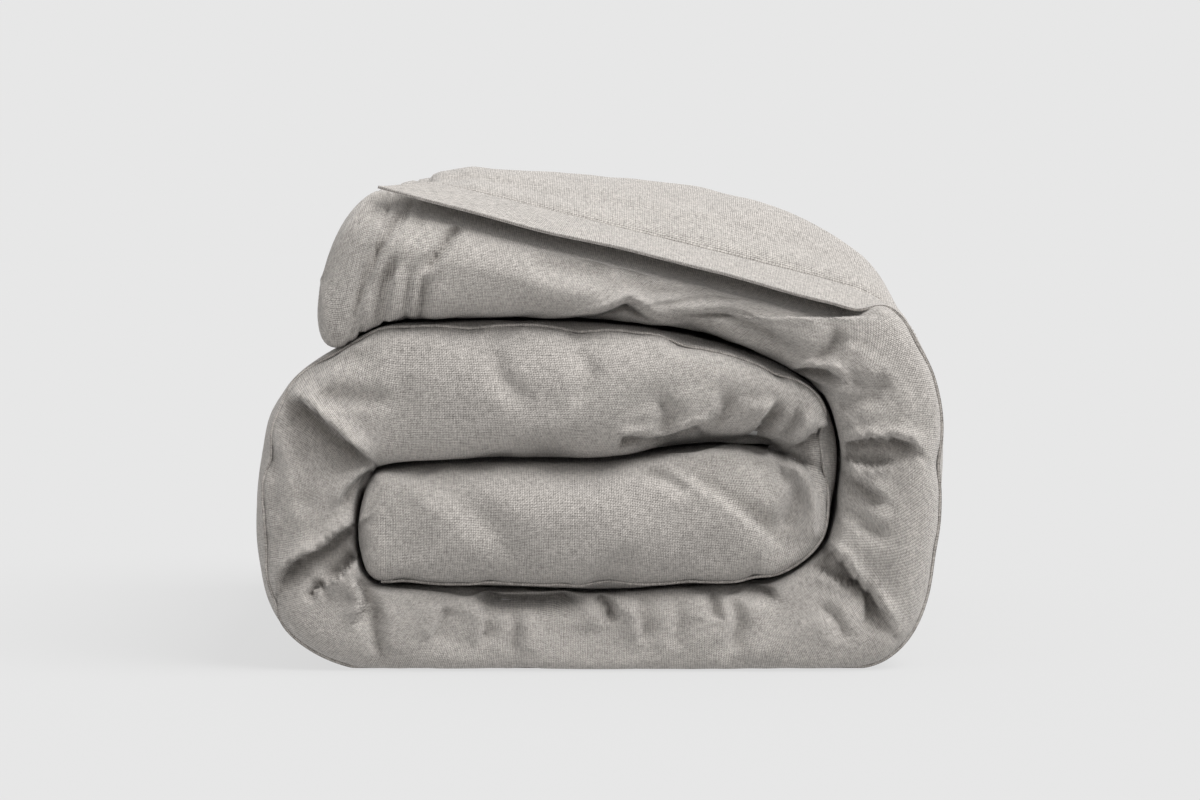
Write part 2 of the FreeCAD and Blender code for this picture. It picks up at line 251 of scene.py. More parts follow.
def strip_points(inset=0.0, low=0.0, high=1.0, fold_inset=0.0, rows=None):
    """Points of every row and column, in millimetres, with the two pillow ends added."""
    inner, outer, rise = rows if rows is not None else (inner_line, outer_line, rises)
    across = outer - inner
    thick = np.linalg.norm(across, axis=1)
    gap = (LAYER_GAP + inset) / thick
    n = low + (high - low) * SECTION[:, 0]
    share = gap[:, None] + (1 - 2 * gap[:, None]) * n[None, :]
    scale = (FOLD_START + FOLD_DEPTH - fold_inset) / (FOLD_START + FOLD_DEPTH)
    y = np.broadcast_to(SECTION[:, 1] * scale, share.shape)
    ramp = 1 - (1 - np.clip((y - SEAM_Y) / 130, 0, 1)) ** 2
    back = 1 - 0.35 * smooth(120, 318, y)
    outside = np.clip((share - 0.35) / 0.65, 0, 1)
    lift = ramp * back * outside
    to_seam = np.clip((y - SEAM_Y + SEAM_REACH) / SEAM_REACH, 0, 1) ** 2
    behind = np.clip(y - SEAM_Y, 0, None)
    meets = shoulder_rise(outer)[:, None]
    puff = PUFF * (1 - np.exp(-behind / 6)) * (meets > 0) * np.clip(meets / 3, 0, 1)
    fade = 1 - smooth(60, 200, behind)
    x = inner[:, 0:1] + across[:, 0:1] * share + rise[:, 0:1] * lift
    z = inner[:, 1:2] + across[:, 1:2] * share + rise[:, 1:2] * lift
    z = z + outside * (meets * to_seam * fade + puff * fade)
    points = np.stack([x, y, z], axis=2)
    return np.concatenate([end_rows(points, 0)[::-1], points, end_rows(points, -1)])

# %% [markdown]
# Both ends of the strip are round and full, so the last rows draw in along a quarter circle.

# %% Rows that close the ends
def end_rows(points, which):
    """Rows that close one end: each is thinner than the last and set further out."""
    edge, beside = points[which], points[1 if which == 0 else -2]
    mirror = edge[MIRROR]
    middle = (edge + mirror) / 2
    outward = (edge - beside + mirror - beside[MIRROR]) / 2
    outward /= np.linalg.norm(outward, axis=1)[:, None]
    rows = []
    for k in range(1, END_ROWS + 1):
        angle = math.pi / 2 * k / END_ROWS
        keep = max(math.cos(angle) ** 0.8, 0.02)
        row = middle + (edge - middle) * keep + outward * END_CAPS[which] * math.sin(angle)
        row[:, 1] *= 1 - 0.02 * (1 - math.cos(angle))
        rows.append(row)
    return np.array(rows)


def mirror_columns():
    """For each column, the one straight across the strip's thickness from it."""
    key = np.column_stack([1 - SECTION[:, 0], SECTION[:, 1] / 300])
    here = np.column_stack([SECTION[:, 0], SECTION[:, 1] / 300])
    return np.array([int(np.argmin(np.sum((here - k) ** 2, axis=1))) for k in key])


MIRROR = mirror_columns()
print("columns paired across the strip", len(MIRROR))

# %% [markdown]
# A tube of rows and columns becomes quads. Cloth coordinates go in as a map named cloth, in metres.

# %% Faces and meshes from a grid
def grid_faces(rows, section, pillow=(True, True)):
    """Quads of a tube of rows and columns. A pillow end closes from side to side, and a cut end flat."""
    columns = len(section)
    i, j = np.meshgrid(np.arange(rows - 1), np.arange(columns), indexing="ij")
    k = (j + 1) % columns
    a, b = i * columns + j, i * columns + k
    faces = np.stack([a, b, b + columns, a + columns], axis=-1).reshape(-1, 4).tolist()
    start = int(np.argmin(np.abs(section[:, 0] - 0.5) + (section[:, 1] > 0) * 9))
    order = [(start + step) % columns for step in range(columns)]
    for row, forward, soft in ((0, False, pillow[0]), (rows - 1, True, pillow[1])):
        base = row * columns
        if not soft:
            ring = [base + step for step in range(columns)]
            faces.append(ring if forward else ring[::-1])
            continue
        for step in range(columns // 2):
            p, q = order[step], order[(step + 1) % columns]
            r, s = order[-step - 1], order[-step] if step else order[0]
            quad = list(dict.fromkeys([base + p, base + q, base + r, base + s]))
            if len(quad) >= 3:
                faces.append(quad if forward else quad[::-1])
    return faces


def new_mesh(name, points, faces):
    """A mesh object from points in millimetres."""
    mesh = bpy.data.meshes.new(name)
    mesh.from_pydata([tuple(p) for p in np.asarray(points).reshape(-1, 3) * MM], [], faces)
    mesh.update()
    piece = bpy.data.objects.new(name, mesh)
    bpy.context.scene.collection.objects.link(piece)
    return piece


def face_outward(piece):
    work = bmesh.new()
    work.from_mesh(piece.data)
    bmesh.ops.recalc_face_normals(work, faces=work.faces)
    work.to_mesh(piece.data)
    work.free()


shape = strip_points()
ROWS, COLUMNS = shape.shape[:2]
print("grid", ROWS, "x", COLUMNS, "=", ROWS * COLUMNS, "points")

# %% [markdown]
# ## Folds pressed in
#
# Where the strip bends, the inside of the bend has spare linen, and it gathers in deep folds. Two
# kinds are pressed into the front. A crease is a groove, and its lips stand proud on both sides. A
# tuck is a step: one side laps over the other, which drops sharply beside the line and comes back
# slowly. Each is a line of a few points on the front.

# %% Creases on the front
# points (x, z), depth, half width, height of the lip to the left of the line, and to the right
CREASES = [
    ([(-222, 65), (-225, 69.5), (-231, 65), (-234, 58)], 10, 3, 2, 2),
    ([(-180, 55), (-182, 35), (-176, 11)], 4, 6, 2, 2),
    ([(-71, 52), (-68, 35), (-70, 15)], 4, 6, 2, 1),
    ([(-104, 61), (-80, 55), (-48, 54), (-20, 56), (-12, 59)], 26, 7, 0, 0),
    ([(-2, 60), (6, 53), (10, 42)], 13, 6, 2, 2),
    ([(60, 62), (64, 42), (60, 20)], 3, 7, 1, 1),
    ([(88, 66), (92, 57), (92, 44)], 9, 5, 2, 2),
    ([(120, 70), (131, 65), (141, 62)], 15, 5, 2, 1),
    ([(104, 62), (112, 40), (106, 18)], 4, 7, 1, 2),
    ([(176, 55), (190, 44), (198, 25)], 4, 6, 1, 1),
    ([(194, 135), (210, 119), (232, 107)], 4, 9, 2, 2),
    ([(190, 211), (208, 219), (228, 222)], 4, 8, 2, 2),
    ([(48, 190), (54, 205), (48, 221)], 5, 8, 2, 2),
    ([(84, 190), (98, 206), (102, 224)], 5, 7, 2, 2),
    ([(150, 185), (158, 199), (160, 212)], 5, 6, 3, 3),
    ([(32, 160), (52, 155), (72, 145)], 3, 8, 1, 1),
    ([(166, 150), (160, 132), (146, 112)], 4, 10, 1, 2),
    ([(48, 275), (77, 270), (107, 260), (137, 249), (160, 238)], 18, 8, 0, 0),
    ([(193, 272), (184, 258), (172, 247)], 6, 8, 2, 3),
    ([(200, 236), (214, 230), (234, 232)], 4, 8, 2, 1),
    ([(-240, 233), (-216, 248), (-184, 256)], 3, 8, 1, 1),
    ([(-232, 220), (-200, 222), (-160, 218)], 3, 10, 1, 1),
    ([(-88, 263), (-80, 239), (-56, 215)], 3, 12, 1, 1),
    ([(-20, 262), (-8, 240), (-18, 212)], 3, 12, 1, 1),
    ([(-270, 190), (-261, 160), (-264, 119)], 3, 9, 1, 1),
    ([(-240, 195), (-234, 160), (-240, 125)], 4, 14, 1, 1),
    ([(-112, 360), (-125, 342), (-141, 320)], 8, 5, 2, 2),
    ([(-155, 376), (-168, 354), (-180, 334), (-188, 318), (-195, 296), (-197, 278)], 5, 4, 2, 2),
    ([(-165, 330), (-175, 312), (-180, 278)], 8, 5, 2, 2),
    ([(-151, 322), (-155, 300), (-158, 278)], 5, 4, 1, 2),
    ([(-138, 318), (-143, 298), (-145.5, 278)], 7, 5, 2, 2),
    ([(-60, 330), (-30, 322), (10, 318)], 3, 14, 1, 1),
    ([(-120, 145), (-90, 120), (-60, 88)], 3, 16, 1, 1),
]

# %% [markdown]
# A tuck is a deep pleat. Its line runs from the back of the fold to the front, and one side stands
# proud.

# %% Tucks on the front
# points (x, z), depth, distance over which the low side comes back, height of the lip, and the low side:
# 1 where it is to the left of the line, -1 to the right
TUCKS = [
    ([(-251, 223), (-240, 217), (-228, 208.5), (-219, 201.5), (-206.5, 189.5), (-194, 179), (-180, 166)],
     22, 13, 8, -1),
    ([(-183, 163), (-194, 156), (-203.5, 146), (-213, 130)], 9, 11, 3, 1),
    ([(-191, 121), (-203.5, 114.5), (-213, 109), (-220, 102), (-228, 97), (-242, 91.5), (-251, 84.5),
      (-257, 74), (-260, 62)],
     22, 11, 6, 1),
    ([(-194, 93), (-199, 88), (-206.5, 80), (-214, 74), (-222, 69)], 16, 11, 6, -1),
    ([(-198, 75), (-194, 66), (-191, 57), (-192, 48), (-199, 37)], 10, 9, 4, 1),
    ([(-125.5, 54), (-131, 38), (-136, 22)], 4, 13, 2, 1),
    ([(-94, 60), (-92, 42), (-96, 20)], 6, 10, 2, 1),
    ([(32, 62), (31, 45), (34, 22)], 6, 12, 2, 1),
    ([(26, 170), (45, 171.5), (59, 177), (80, 179.5), (111, 178.5), (136, 175.5), (152, 170.5),
      (170, 162.5), (190, 153)],
     32, 8, 4, 1),
    ([(10, 174), (19.5, 190), (36, 187.5), (54, 188.5), (77, 197.5), (95, 181)], 16, 8, 5, -1),
    ([(141, 219), (132, 204.5), (127, 193.5), (118, 186.5), (105, 180)], 16, 10, 6, 1),
    ([(188, 200), (175, 193), (164, 185), (152, 177)], 16, 8, 5, 1),
    ([(53, 167), (80, 149), (107, 131), (128.5, 113.5), (150, 96)], 6, 34, 2, 1),
    ([(192, 182), (214, 187.5), (236, 187.5), (250, 184), (260, 175)], 15, 9, 6, -1),
    ([(194, 171), (205.5, 168.5), (218, 165), (238, 169)], 13, 8, 4, 1),
    ([(192, 162), (211, 152.5), (231, 137)], 10, 13, 4, -1),
    ([(174, 106), (181, 101), (193, 90), (205, 74), (218, 60), (229, 47), (237, 31)], 17, 10, 6, -1),
    ([(166, 84), (182, 79.5), (196.5, 71.5), (207, 67), (213.5, 60), (214.5, 49), (211, 36)], 13, 7, 5, 1),
    ([(-34, 281.5), (-6, 285), (6, 289), (21, 296), (28, 292), (36, 285), (50, 280)], 22, 9, 3, -1),
    ([(44, 281), (72, 288), (100, 288), (128, 280), (150, 266), (168, 250)], 9, 24, 1, -1),
    ([(154, 242), (168, 244), (182, 243), (194, 235)], 20, 8, 5, -1),
]
PRESSED_FIRST = 0.65  # share of a tuck's depth pressed before the linen settles
print("tucks", len(TUCKS), "creases", len(CREASES))

# %% [markdown]
# ## Pressing a line into the linen
#
# Each point finds its nearest line and how far along that line it lies. The depth fades out at both
# ends of the line, and away from it, so a fold starts and stops softly as real folds do.

# %% Distance to a fold's line
def distance_to_line(line, x, z):
    """Distance from each point to the line, the side it lies on, and its place along the line from 0 to 1."""
    line = np.array(line, float)
    total = length_along(line)
    best = np.full(x.shape, 1e9)
    side = np.zeros_like(x)
    place = np.zeros_like(x)
    for k in range(len(line) - 1):
        a, b = line[k], line[k + 1]
        run = b - a
        size = float(run @ run)
        u = np.clip(((x - a[0]) * run[0] + (z - a[1]) * run[1]) / size, 0, 1)
        dx, dz = x - a[0] - u * run[0], z - a[1] - u * run[1]
        gap = np.hypot(dx, dz)
        nearer = gap < best
        best = np.where(nearer, gap, best)
        side = np.where(nearer, np.sign(run[0] * dz - run[1] * dx), side)
        place = np.where(nearer, (total[k] + u * (total[k + 1] - total[k])) / total[-1], place)
    return best, side, place


def on_face(points, facing):
    """1 on the side of the strip that faces this way along Y, and 0 away from it."""
    return smooth(FOLD_START - 30, FOLD_START + 12, facing * points[..., 1])

# %% [markdown]
# Creases and tucks move points only along Y, into the face they are pressed on, and fade out away from that
# face.

# %% Press creases and tucks
def press_creases(points, creases, facing, deep=1.0, wide=1.0):
    """Sink the linen along each crease."""
    weight = on_face(points, facing)
    for line, depth, width, left, right in creases:
        gap, side, place = distance_to_line(line, points[..., 0], points[..., 2])
        width = width * wide
        taper = smooth(0, 0.18, place) * (1 - smooth(0.8, 1.0, place)) * 0.85 + 0.15
        sink = depth * np.exp(-((gap / width) ** 2))
        lip = np.where(side > 0, left, right)
        proud = lip * np.exp(-(((gap - 2.2 * width) / (1.7 * width)) ** 2))
        points[..., 1] -= facing * weight * taper * deep * (sink - proud)


def press_tucks(points, tucks, facing, deep=1.0, step=3.0):
    """Drop the linen on the low side of each tuck. The step itself is this many millimetres wide."""
    weight = on_face(points, facing)
    for line, depth, recover, lip, low_side in tucks:
        gap, side, place = distance_to_line(line, points[..., 0], points[..., 2])
        signed = gap * side * low_side
        taper = smooth(0, 0.2, place) * (1 - smooth(0.72, 1.0, place)) * 0.9 + 0.1
        taper = taper * np.exp(-((np.where((place <= 0) | (place >= 1), gap, 0) / recover) ** 2))
        drop = depth * np.exp(-np.clip(signed, 0, None) / recover) * smooth(-step / 2, step / 2, signed)
        high_side = 1 - smooth(-step / 2, step / 2, signed)
        proud = lip * np.exp(-((np.clip(-signed, 0, None) / (0.9 * recover)) ** 2)) * high_side
        points[..., 1] -= facing * weight * taper * deep * (drop - proud)


press_creases(shape, CREASES, -1)
press_tucks(shape, TUCKS, -1, deep=PRESSED_FIRST, step=6.0)
BACK_CREASES = [([(x, z + 4) for x, z in line], d, w, l, r) for line, d, w, l, r in CREASES[::-1]]
BACK_TUCKS = [([(x, z - 3) for x, z in line], 0.7 * d, r, lip, s) for line, d, r, lip, s in TUCKS[::-1]]
press_creases(shape, BACK_CREASES, 1)
press_tucks(shape, BACK_TUCKS, 1, deep=PRESSED_FIRST, step=6.0)
print("creases", len(CREASES), "tucks", len(TUCKS))

# %% [markdown]
# ## Let the linen settle
#
# Real linen is never exactly as large as its filling. The cloth solver blows the strip up a little
# from inside, and gives the linen a few percent to spare, so it buckles and gathers. Where two
# layers press on each other the cloth is held, and the open folds and walls are free to move.

# %% How firmly each point is held
def hold_weights(points):
    """How firmly each point is held: 1 where layers press together, and little on the open folds."""
    rows, columns = points.shape[:2]
    y = np.abs(np.broadcast_to(SECTION[:, 1], (rows, columns)))
    n = np.broadcast_to(SECTION[:, 0], (rows, columns))
    inside = 1 - smooth(FOLD_START - 42, FOLD_START - 8, y)
    crease = np.maximum(smooth(0.93, 1.0, n), 1 - smooth(0.0, 0.07, n))
    crease = crease * (1 - smooth(FOLD_START, FOLD_START + 14, y))
    place = np.linspace(0, 1, rows)[:, None] * np.ones((1, columns))
    x, z = points[..., 0], points[..., 2]
    outer = smooth(0.75, 0.95, n)
    left = outer * smooth(-225, -255, x) * (place < 0.62)
    right = outer * smooth(225, 255, x)
    top = outer * smooth(295, 320, z)
    open_wall = np.clip(left + right + top, 0, 1)
    hold = np.maximum(inside, 0.25 * crease)
    hold = hold * (1 - open_wall) + 0.10 * open_wall
    end = np.minimum(np.arange(rows), np.arange(rows)[::-1])[:, None]
    hold = np.where(end < END_ROWS + 2, 0.45, hold)
    seam = outer * smooth(285, 300, z) * (1 - smooth(14, 44, np.abs(points[..., 1] - SEAM_Y)))
    hold = np.maximum(hold, seam)
    return np.clip(hold, 0.03, 1.0)

# %% [markdown]
# Blender's cloth solver takes the strip as a sealed bag. The held points follow a vertex group's
# weights.

# %% The cloth solver
def settle(piece, hold, frames, pressure, spare):
    """Run the cloth solver on the piece and return where its points end up."""
    group = piece.vertex_groups.new(name="hold")
    for index, weight in enumerate(hold.ravel()):
        group.add([index], float(weight), "REPLACE")
    cloth = piece.modifiers.new("Cloth", "CLOTH")
    settings = cloth.settings
    settings.quality = 5
    settings.mass = 0.25
    settings.tension_stiffness = 12
    settings.compression_stiffness = 12
    settings.shear_stiffness = 4
    settings.bending_stiffness = 0.35
    settings.tension_damping = 8
    settings.compression_damping = 8
    settings.shear_damping = 8
    settings.air_damping = 3
    settings.use_pressure = True
    settings.uniform_pressure_force = pressure
    settings.vertex_group_mass = "hold"
    settings.pin_stiffness = 3.0
    settings.shrink_min = -spare
    settings.effector_weights.gravity = 0
    cloth.collision_settings.use_collision = False
    cloth.collision_settings.use_self_collision = True
    cloth.collision_settings.self_distance_min = 0.002
    cloth.collision_settings.collision_quality = 2
    cloth.point_cache.frame_start = 1
    cloth.point_cache.frame_end = frames + 1
    scene = bpy.context.scene
    for number in range(1, frames + 1):
        scene.frame_set(number)
    graph = bpy.context.evaluated_depsgraph_get()
    settled = piece.evaluated_get(graph).to_mesh()
    flat = np.empty(len(settled.vertices) * 3)
    settled.vertices.foreach_get("co", flat)
    piece.evaluated_get(graph).to_mesh_clear()
    piece.modifiers.remove(cloth)
    piece.vertex_groups.clear()
    scene.frame_set(1)
    return flat.reshape(-1, 3) / MM

# %% [markdown]
# Only part of the solver's move is kept. It is smoothed over the grid first, so small noise is left
# out.

# %% Settle the strip and flatten it on the floor
SETTLED_SHARE = 0.75  # the rest keeps the shape as laid out
FRAMES = 22
PRESSURE = 1.8
SPARE_LINEN = 0.03
FARTHEST = 15.0  # no point moves further than this
FLOOR_BAND = 3.0  # anything lower is pressed flat, down to the floor gap
FLOOR_GAP = 0.6
cover = new_mesh("settling_cover", shape, grid_faces(ROWS, SECTION))
face_outward(cover)
settled = settle(cover, hold_weights(shape), FRAMES, PRESSURE, SPARE_LINEN)
move = (settled - shape.reshape(-1, 3)).reshape(shape.shape) * SETTLED_SHARE
move = (move + (np.roll(move, 1, axis=1) + np.roll(move, -1, axis=1)) / 2) / 2
move[1:-1] = (move[:-2] + 2 * move[1:-1] + move[2:]) / 4
move = move.reshape(-1, 3)
far = np.linalg.norm(move, axis=1)
print("settled: mean move mm", far.mean().round(2), "largest", far.max().round(1))
move *= (np.minimum(far, FARTHEST) / np.maximum(far, 1e-9))[:, None]
shape = (shape.reshape(-1, 3) + move).reshape(ROWS, COLUMNS, 3)
low = shape[..., 2]
soft = FLOOR_BAND - FLOOR_GAP
shape[..., 2] = np.where(low < FLOOR_BAND, FLOOR_GAP + soft * np.exp((low - FLOOR_BAND) / soft), low)
bpy.data.objects.remove(cover)
print("settled box mm", shape.reshape(-1, 3).min(axis=0).round(1), shape.reshape(-1, 3).max(axis=0).round(1))

# %% [markdown]
# ## A finer grid with crisp folds
#
# The solver leaves soft swells. Real linen also has creases with a sharp bottom, where one lip lies
# on the other. So the settled grid is read again through smooth curves, with more columns near the
# front and back folds, and the tucks get the rest of their depth there.

# %% Read the grid at more rows and columns
FOLD_SPLIT = 3  # columns near the folds become this many times finer
FLAT_SPLIT = 2
ROW_SPLIT = 2


def finer_places(columns):
    """Places between the columns of the coarse grid, in column numbers, round the whole section."""
    y = np.abs(SECTION[:, 1])
    places = []
    for j in range(columns):
        near_fold = min(y[j], y[(j + 1) % columns]) > FOLD_START - 36
        parts = FOLD_SPLIT if near_fold else FLAT_SPLIT
        places += [j + k / parts for k in range(parts)]
    return np.array(places)


def read_between(values, rows_at, columns_at):
    """Values of a grid whose columns close in a ring, read at other rows and columns."""
    rows, columns = values.shape[:2]
    along = curve_through(np.arange(rows, dtype=float), values.reshape(rows, -1), rows_at)
    along = along.reshape(len(rows_at), columns, -1)
    pad = 3
    ring = np.concatenate([along[:, -pad:], along, along[:, :pad]], axis=1)
    turned = np.moveaxis(ring, 1, 0).reshape(columns + 2 * pad, -1)
    knots = np.arange(-pad, columns + pad, dtype=float)
    read = curve_through(knots, turned, columns_at).reshape(len(columns_at), len(rows_at), -1)
    return np.moveaxis(read, 0, 1)


columns_at = finer_places(COLUMNS)
rows_at = np.linspace(0, ROWS - 1, (ROWS - 1) * ROW_SPLIT + 1)
fine = read_between(shape, rows_at, columns_at)
two_sections = np.stack([SECTION, SECTION])
FINE_SECTION = read_between(two_sections, np.zeros(1), columns_at)[0]
press_creases(fine, CREASES, -1, deep=0.75, wide=0.55)
press_tucks(fine, TUCKS, -1, deep=1.15, step=1.8)
press_tucks(fine, BACK_TUCKS, 1, deep=0.6, step=3.0)
print("fine grid", fine.shape[0], "x", fine.shape[1])

# %% [markdown]
# ## Room under the flat hem, and a hem at the opening
#
# The flat hem stands clear of the slack shoulder, so the shoulder is lowered under it, more towards
# its free edge. The opening's hem shows on the free end as two shallow grooves where its stitches
# pull the linen in.

# %% Lower the shoulder and press the hem's grooves
FLANGE_WIDTH = 50.0
TILT_Y, TILT_Z = -0.956, -0.292  # the plate falls 17 degrees towards the front
PLATE_SAG = 3.0
BROW_REACH = 44.0  # below the hem, the face of the fold leans back over this height
BROW_DEPTH = 17.0
FLAP_ROOT = 10.0  # the loose flap begins here, along X
FLAP_SEAM_END = -128.0  # and its seam ends here, where the mitre starts
SEAM_SINK = 3.5  # the stitches pull the padding in this far
END_DROP = 3.6  # the underside of the free end is let down this far
HEM_GROOVES = ((1, 1.2), (4, 2.6), (9, 2.2), (13, 1.3))  # rows in from the last full row, and depth


def lower_under_plate(points):
    x, y, z = points[..., 0], points[..., 1], points[..., 2]
    n = np.broadcast_to(FINE_SECTION[:, 0], x.shape)
    forward = np.clip((y - SEAM_Y) / TILT_Y, 0, None)
    share = np.clip(forward / FLANGE_WIDTH, 0, 1.3)
    ceiling = seam_height(x) + TILT_Z * forward - PLATE_SAG * share**2 - 1.2 - 7.0 * share**1.3
    left_end = FLAP_SEAM_END - forward
    weight = smooth(232, 196, x) * smooth(left_end - 26, left_end - 2, x) * smooth(0.25, 0.5, n)
    weight = weight * (z > 285) * (forward > 0)
    above = 3.0 * np.logaddexp(0, (z - ceiling) / 3.0)
    points[..., 2] -= weight * above
    brow = seam_height(x) + TILT_Z * FLANGE_WIDTH - PLATE_SAG
    leans = smooth(BROW_REACH, 4, brow - z) * smooth(FOLD_START - 8, FOLD_START + 22, -y)
    leans = leans * smooth(232, 196, x) * smooth(left_end - 26, left_end + 20, x) * (z > 285)
    points[..., 1] += BROW_DEPTH * leans

# %% [markdown]
# The stitches of the hem pull the padding in, and the free end rests on the layer below it.

# %% Pull in the seam and let down the free end
def sink_seam(points):
    """The stitches of the seam pull the padding in, so it bulges over them from behind."""
    x, y, z = points[..., 0], points[..., 1], points[..., 2]
    n = np.broadcast_to(FINE_SECTION[:, 0], x.shape)
    on_top = (n > 0.9) * (z > 285) * smooth(FLAP_SEAM_END - 12, FLAP_SEAM_END + 8, x) * smooth(246, 225, x)
    points[..., 2] -= on_top * SEAM_SINK * np.exp(-(((y - SEAM_Y) / 3.2) ** 2))


def rest_free_end(points):
    """The free end weighs on the layer below, so its underside is let down onto it."""
    last = smooth(len(points) - 90, len(points) - 50, np.arange(len(points)))[:, None]
    underside = smooth(0.55, 0.1, np.broadcast_to(FINE_SECTION[:, 0], points.shape[:2]))
    points[..., 2] -= END_DROP * last * underside * smooth(-150, -195, points[..., 0])


lower_under_plate(fine)
sink_seam(fine)
rest_free_end(fine)

# %% [markdown]
# ## Cut the cover where the top layer bends
#
# The top layer of the roll can be lifted. The cover is one continuous bag, so it is cut into two pieces at a
# row just before the bend: the lower piece goes on the roll, and the upper piece is left where it is made.
# Both pieces keep the shading normals of the whole bag, so the cut doesn't show.

# %% Cut rows, cloth coordinates and whole-bag normals
BEND_START = 0.122  # metres: the padding follows the roll to the right of this, and bends to the left of it


def cut_row(points):
    """The last row from which every point lies to the right of the bend."""
    lowest_x = points[..., 0].min(axis=1)
    over = np.where((lowest_x > BEND_START / MM + 0.5) & (points[..., 2].mean(axis=1) > 240))[0]
    return int(over.max())


def ring_length(section, layer=105.0):
    """Distance round the section from the first column to each column, and once more round to the first."""
    ring = np.vstack([section, section[:1]]) * [layer, 1]
    return length_along(ring)


def lay_cloth_map(piece, columns, along, around):
    """A UV map in metres of cloth: u runs along the strip and v round it."""
    mesh = piece.data
    corner = np.empty(len(mesh.loops), dtype=np.int64)
    mesh.loops.foreach_get("vertex_index", corner)
    row, column = corner // columns, corner % columns
    v = around[column]
    start = np.empty(len(mesh.polygons), dtype=np.int64)
    mesh.polygons.foreach_get("loop_start", start)
    face = np.repeat(np.arange(len(start)), np.diff(np.append(start, len(corner))))
    highest = np.zeros(len(start), dtype=np.int64)
    np.maximum.at(highest, face, column)
    wraps = (column == 0) & (highest[face] == columns - 1)
    v = np.where(wraps, around[-1], v)
    layer = mesh.uv_layers.new(name="cloth")
    layer.uv.foreach_set("vector", (np.column_stack([along[row], v]) * MM).astype(np.float32).ravel())

# %% [markdown]
# Normals are worked out on the whole bag, so the parts of the cover meet without a line between
# them.

# %% Normals of the whole bag, and pieces cut from it
def point_normals(points, section):
    """Normals of every point of a whole closed grid."""
    whole = new_mesh("whole", points, grid_faces(len(points), section))
    face_outward(whole)
    found = np.empty(len(whole.data.vertices) * 3, dtype=np.float32)
    whole.data.vertex_normals.foreach_get("vector", found)
    mesh = whole.data
    bpy.data.objects.remove(whole)
    bpy.data.meshes.remove(mesh)
    return found.reshape(points.shape)


def tube_piece(name, points, section, normals, first, last, row_step):
    """A piece of the grid from row first to row last, closed at both ends."""
    rows = points[first:last + 1]
    whole_ends = (first == 0, last == len(points) - 1)
    piece = new_mesh(name, rows, grid_faces(len(rows), section, whole_ends))
    face_outward(piece)
    along = (first + np.arange(len(rows))) * row_step
    lay_cloth_map(piece, len(section), along, ring_length(section))
    mesh = piece.data
    mesh.polygons.foreach_set("use_smooth", [True] * len(mesh.polygons))
    mesh.normals_split_custom_set_from_vertices(normals[first:last + 1].reshape(-1, 3).tolist())
    return piece

# %% [markdown]
# The cover is cut once, at the bend of the top layer. One part rides the roll, and the other is left where it
# is made.

# %% Cut the cover and put one part on the roll
last_full_row = len(fine) - 1 - END_ROWS * ROW_SPLIT
first_normals = point_normals(fine, FINE_SECTION)
for rows_in, depth in HEM_GROOVES:
    fine[last_full_row - rows_in] -= first_normals[last_full_row - rows_in] * depth
CUT = cut_row(fine)
fine_normals = point_normals(fine, FINE_SECTION)
fine_step = ROW_STEP / ROW_SPLIT
cover_roll = tube_piece("duvet_cover_roll", fine, FINE_SECTION, fine_normals, 0, CUT, fine_step)
cover_top = tube_piece("duvet_cover_top", fine, FINE_SECTION, fine_normals, CUT, len(fine) - 1, fine_step)
print("cut at row", CUT, "x", fine[CUT, :, 0].min().round(), "to", fine[CUT, :, 0].max().round())


def bends_with_top(piece):
    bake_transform(piece)


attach(cover_roll, "roll")
bends_with_top(cover_top)
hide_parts("cover_face_panel_roll")
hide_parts("cover_face_panel_top")

# %% [markdown]
# ## Washed linen
#
# Linen yarn is uneven: it has thick places called slubs, so the weave shows short darker and
# lighter dashes along both directions of the cloth. The weave is a node group, because the cover,
# the hem and the facings share it. It reads the cloth map of each piece, in metres, so that the
# threads follow the folds.

# %% The weave as a node group
def add_node(tree, kind, place, **settings):
    node = tree.nodes.new(kind)
    node.location = place
    for key, value in settings.items():
        setattr(node, key, value)
    return node


def math_node(tree, operation, first, second=None, place=(0, 0), clamp=False):
    """A Math node whose inputs are sockets or numbers. It returns its output socket."""
    node = add_node(tree, "ShaderNodeMath", place, operation=operation, use_clamp=clamp)
    for index, value in enumerate((first, second)):
        if value is None:
            continue
        if isinstance(value, bpy.types.NodeSocket):
            tree.links.new(value, node.inputs[index])
        else:
            node.inputs[index].default_value = value
    return node.outputs[0]


def stretched_noise(tree, coordinates, scale, detail=2.0, roughness=0.6):
    """Noise on coordinates that are first scaled unevenly. It returns a socket from 0 to 1."""
    mapping = add_node(tree, "ShaderNodeMapping", (-900, 0))
    mapping.inputs["Scale"].default_value = scale
    tree.links.new(coordinates, mapping.inputs["Vector"])
    noise = add_node(tree, "ShaderNodeTexNoise", (-700, 0))
    noise.inputs["Scale"].default_value = 1.0
    noise.inputs["Detail"].default_value = detail
    noise.inputs["Roughness"].default_value = roughness
    tree.links.new(mapping.outputs[0], noise.inputs["Vector"])
    return noise.outputs[0]

# %% [markdown]
# Warp and weft take turns on top, which two sine waves and a checker of whole threads give. Slubs
# are noise that is stretched along each yarn, and the mottle is broad noise from washing.

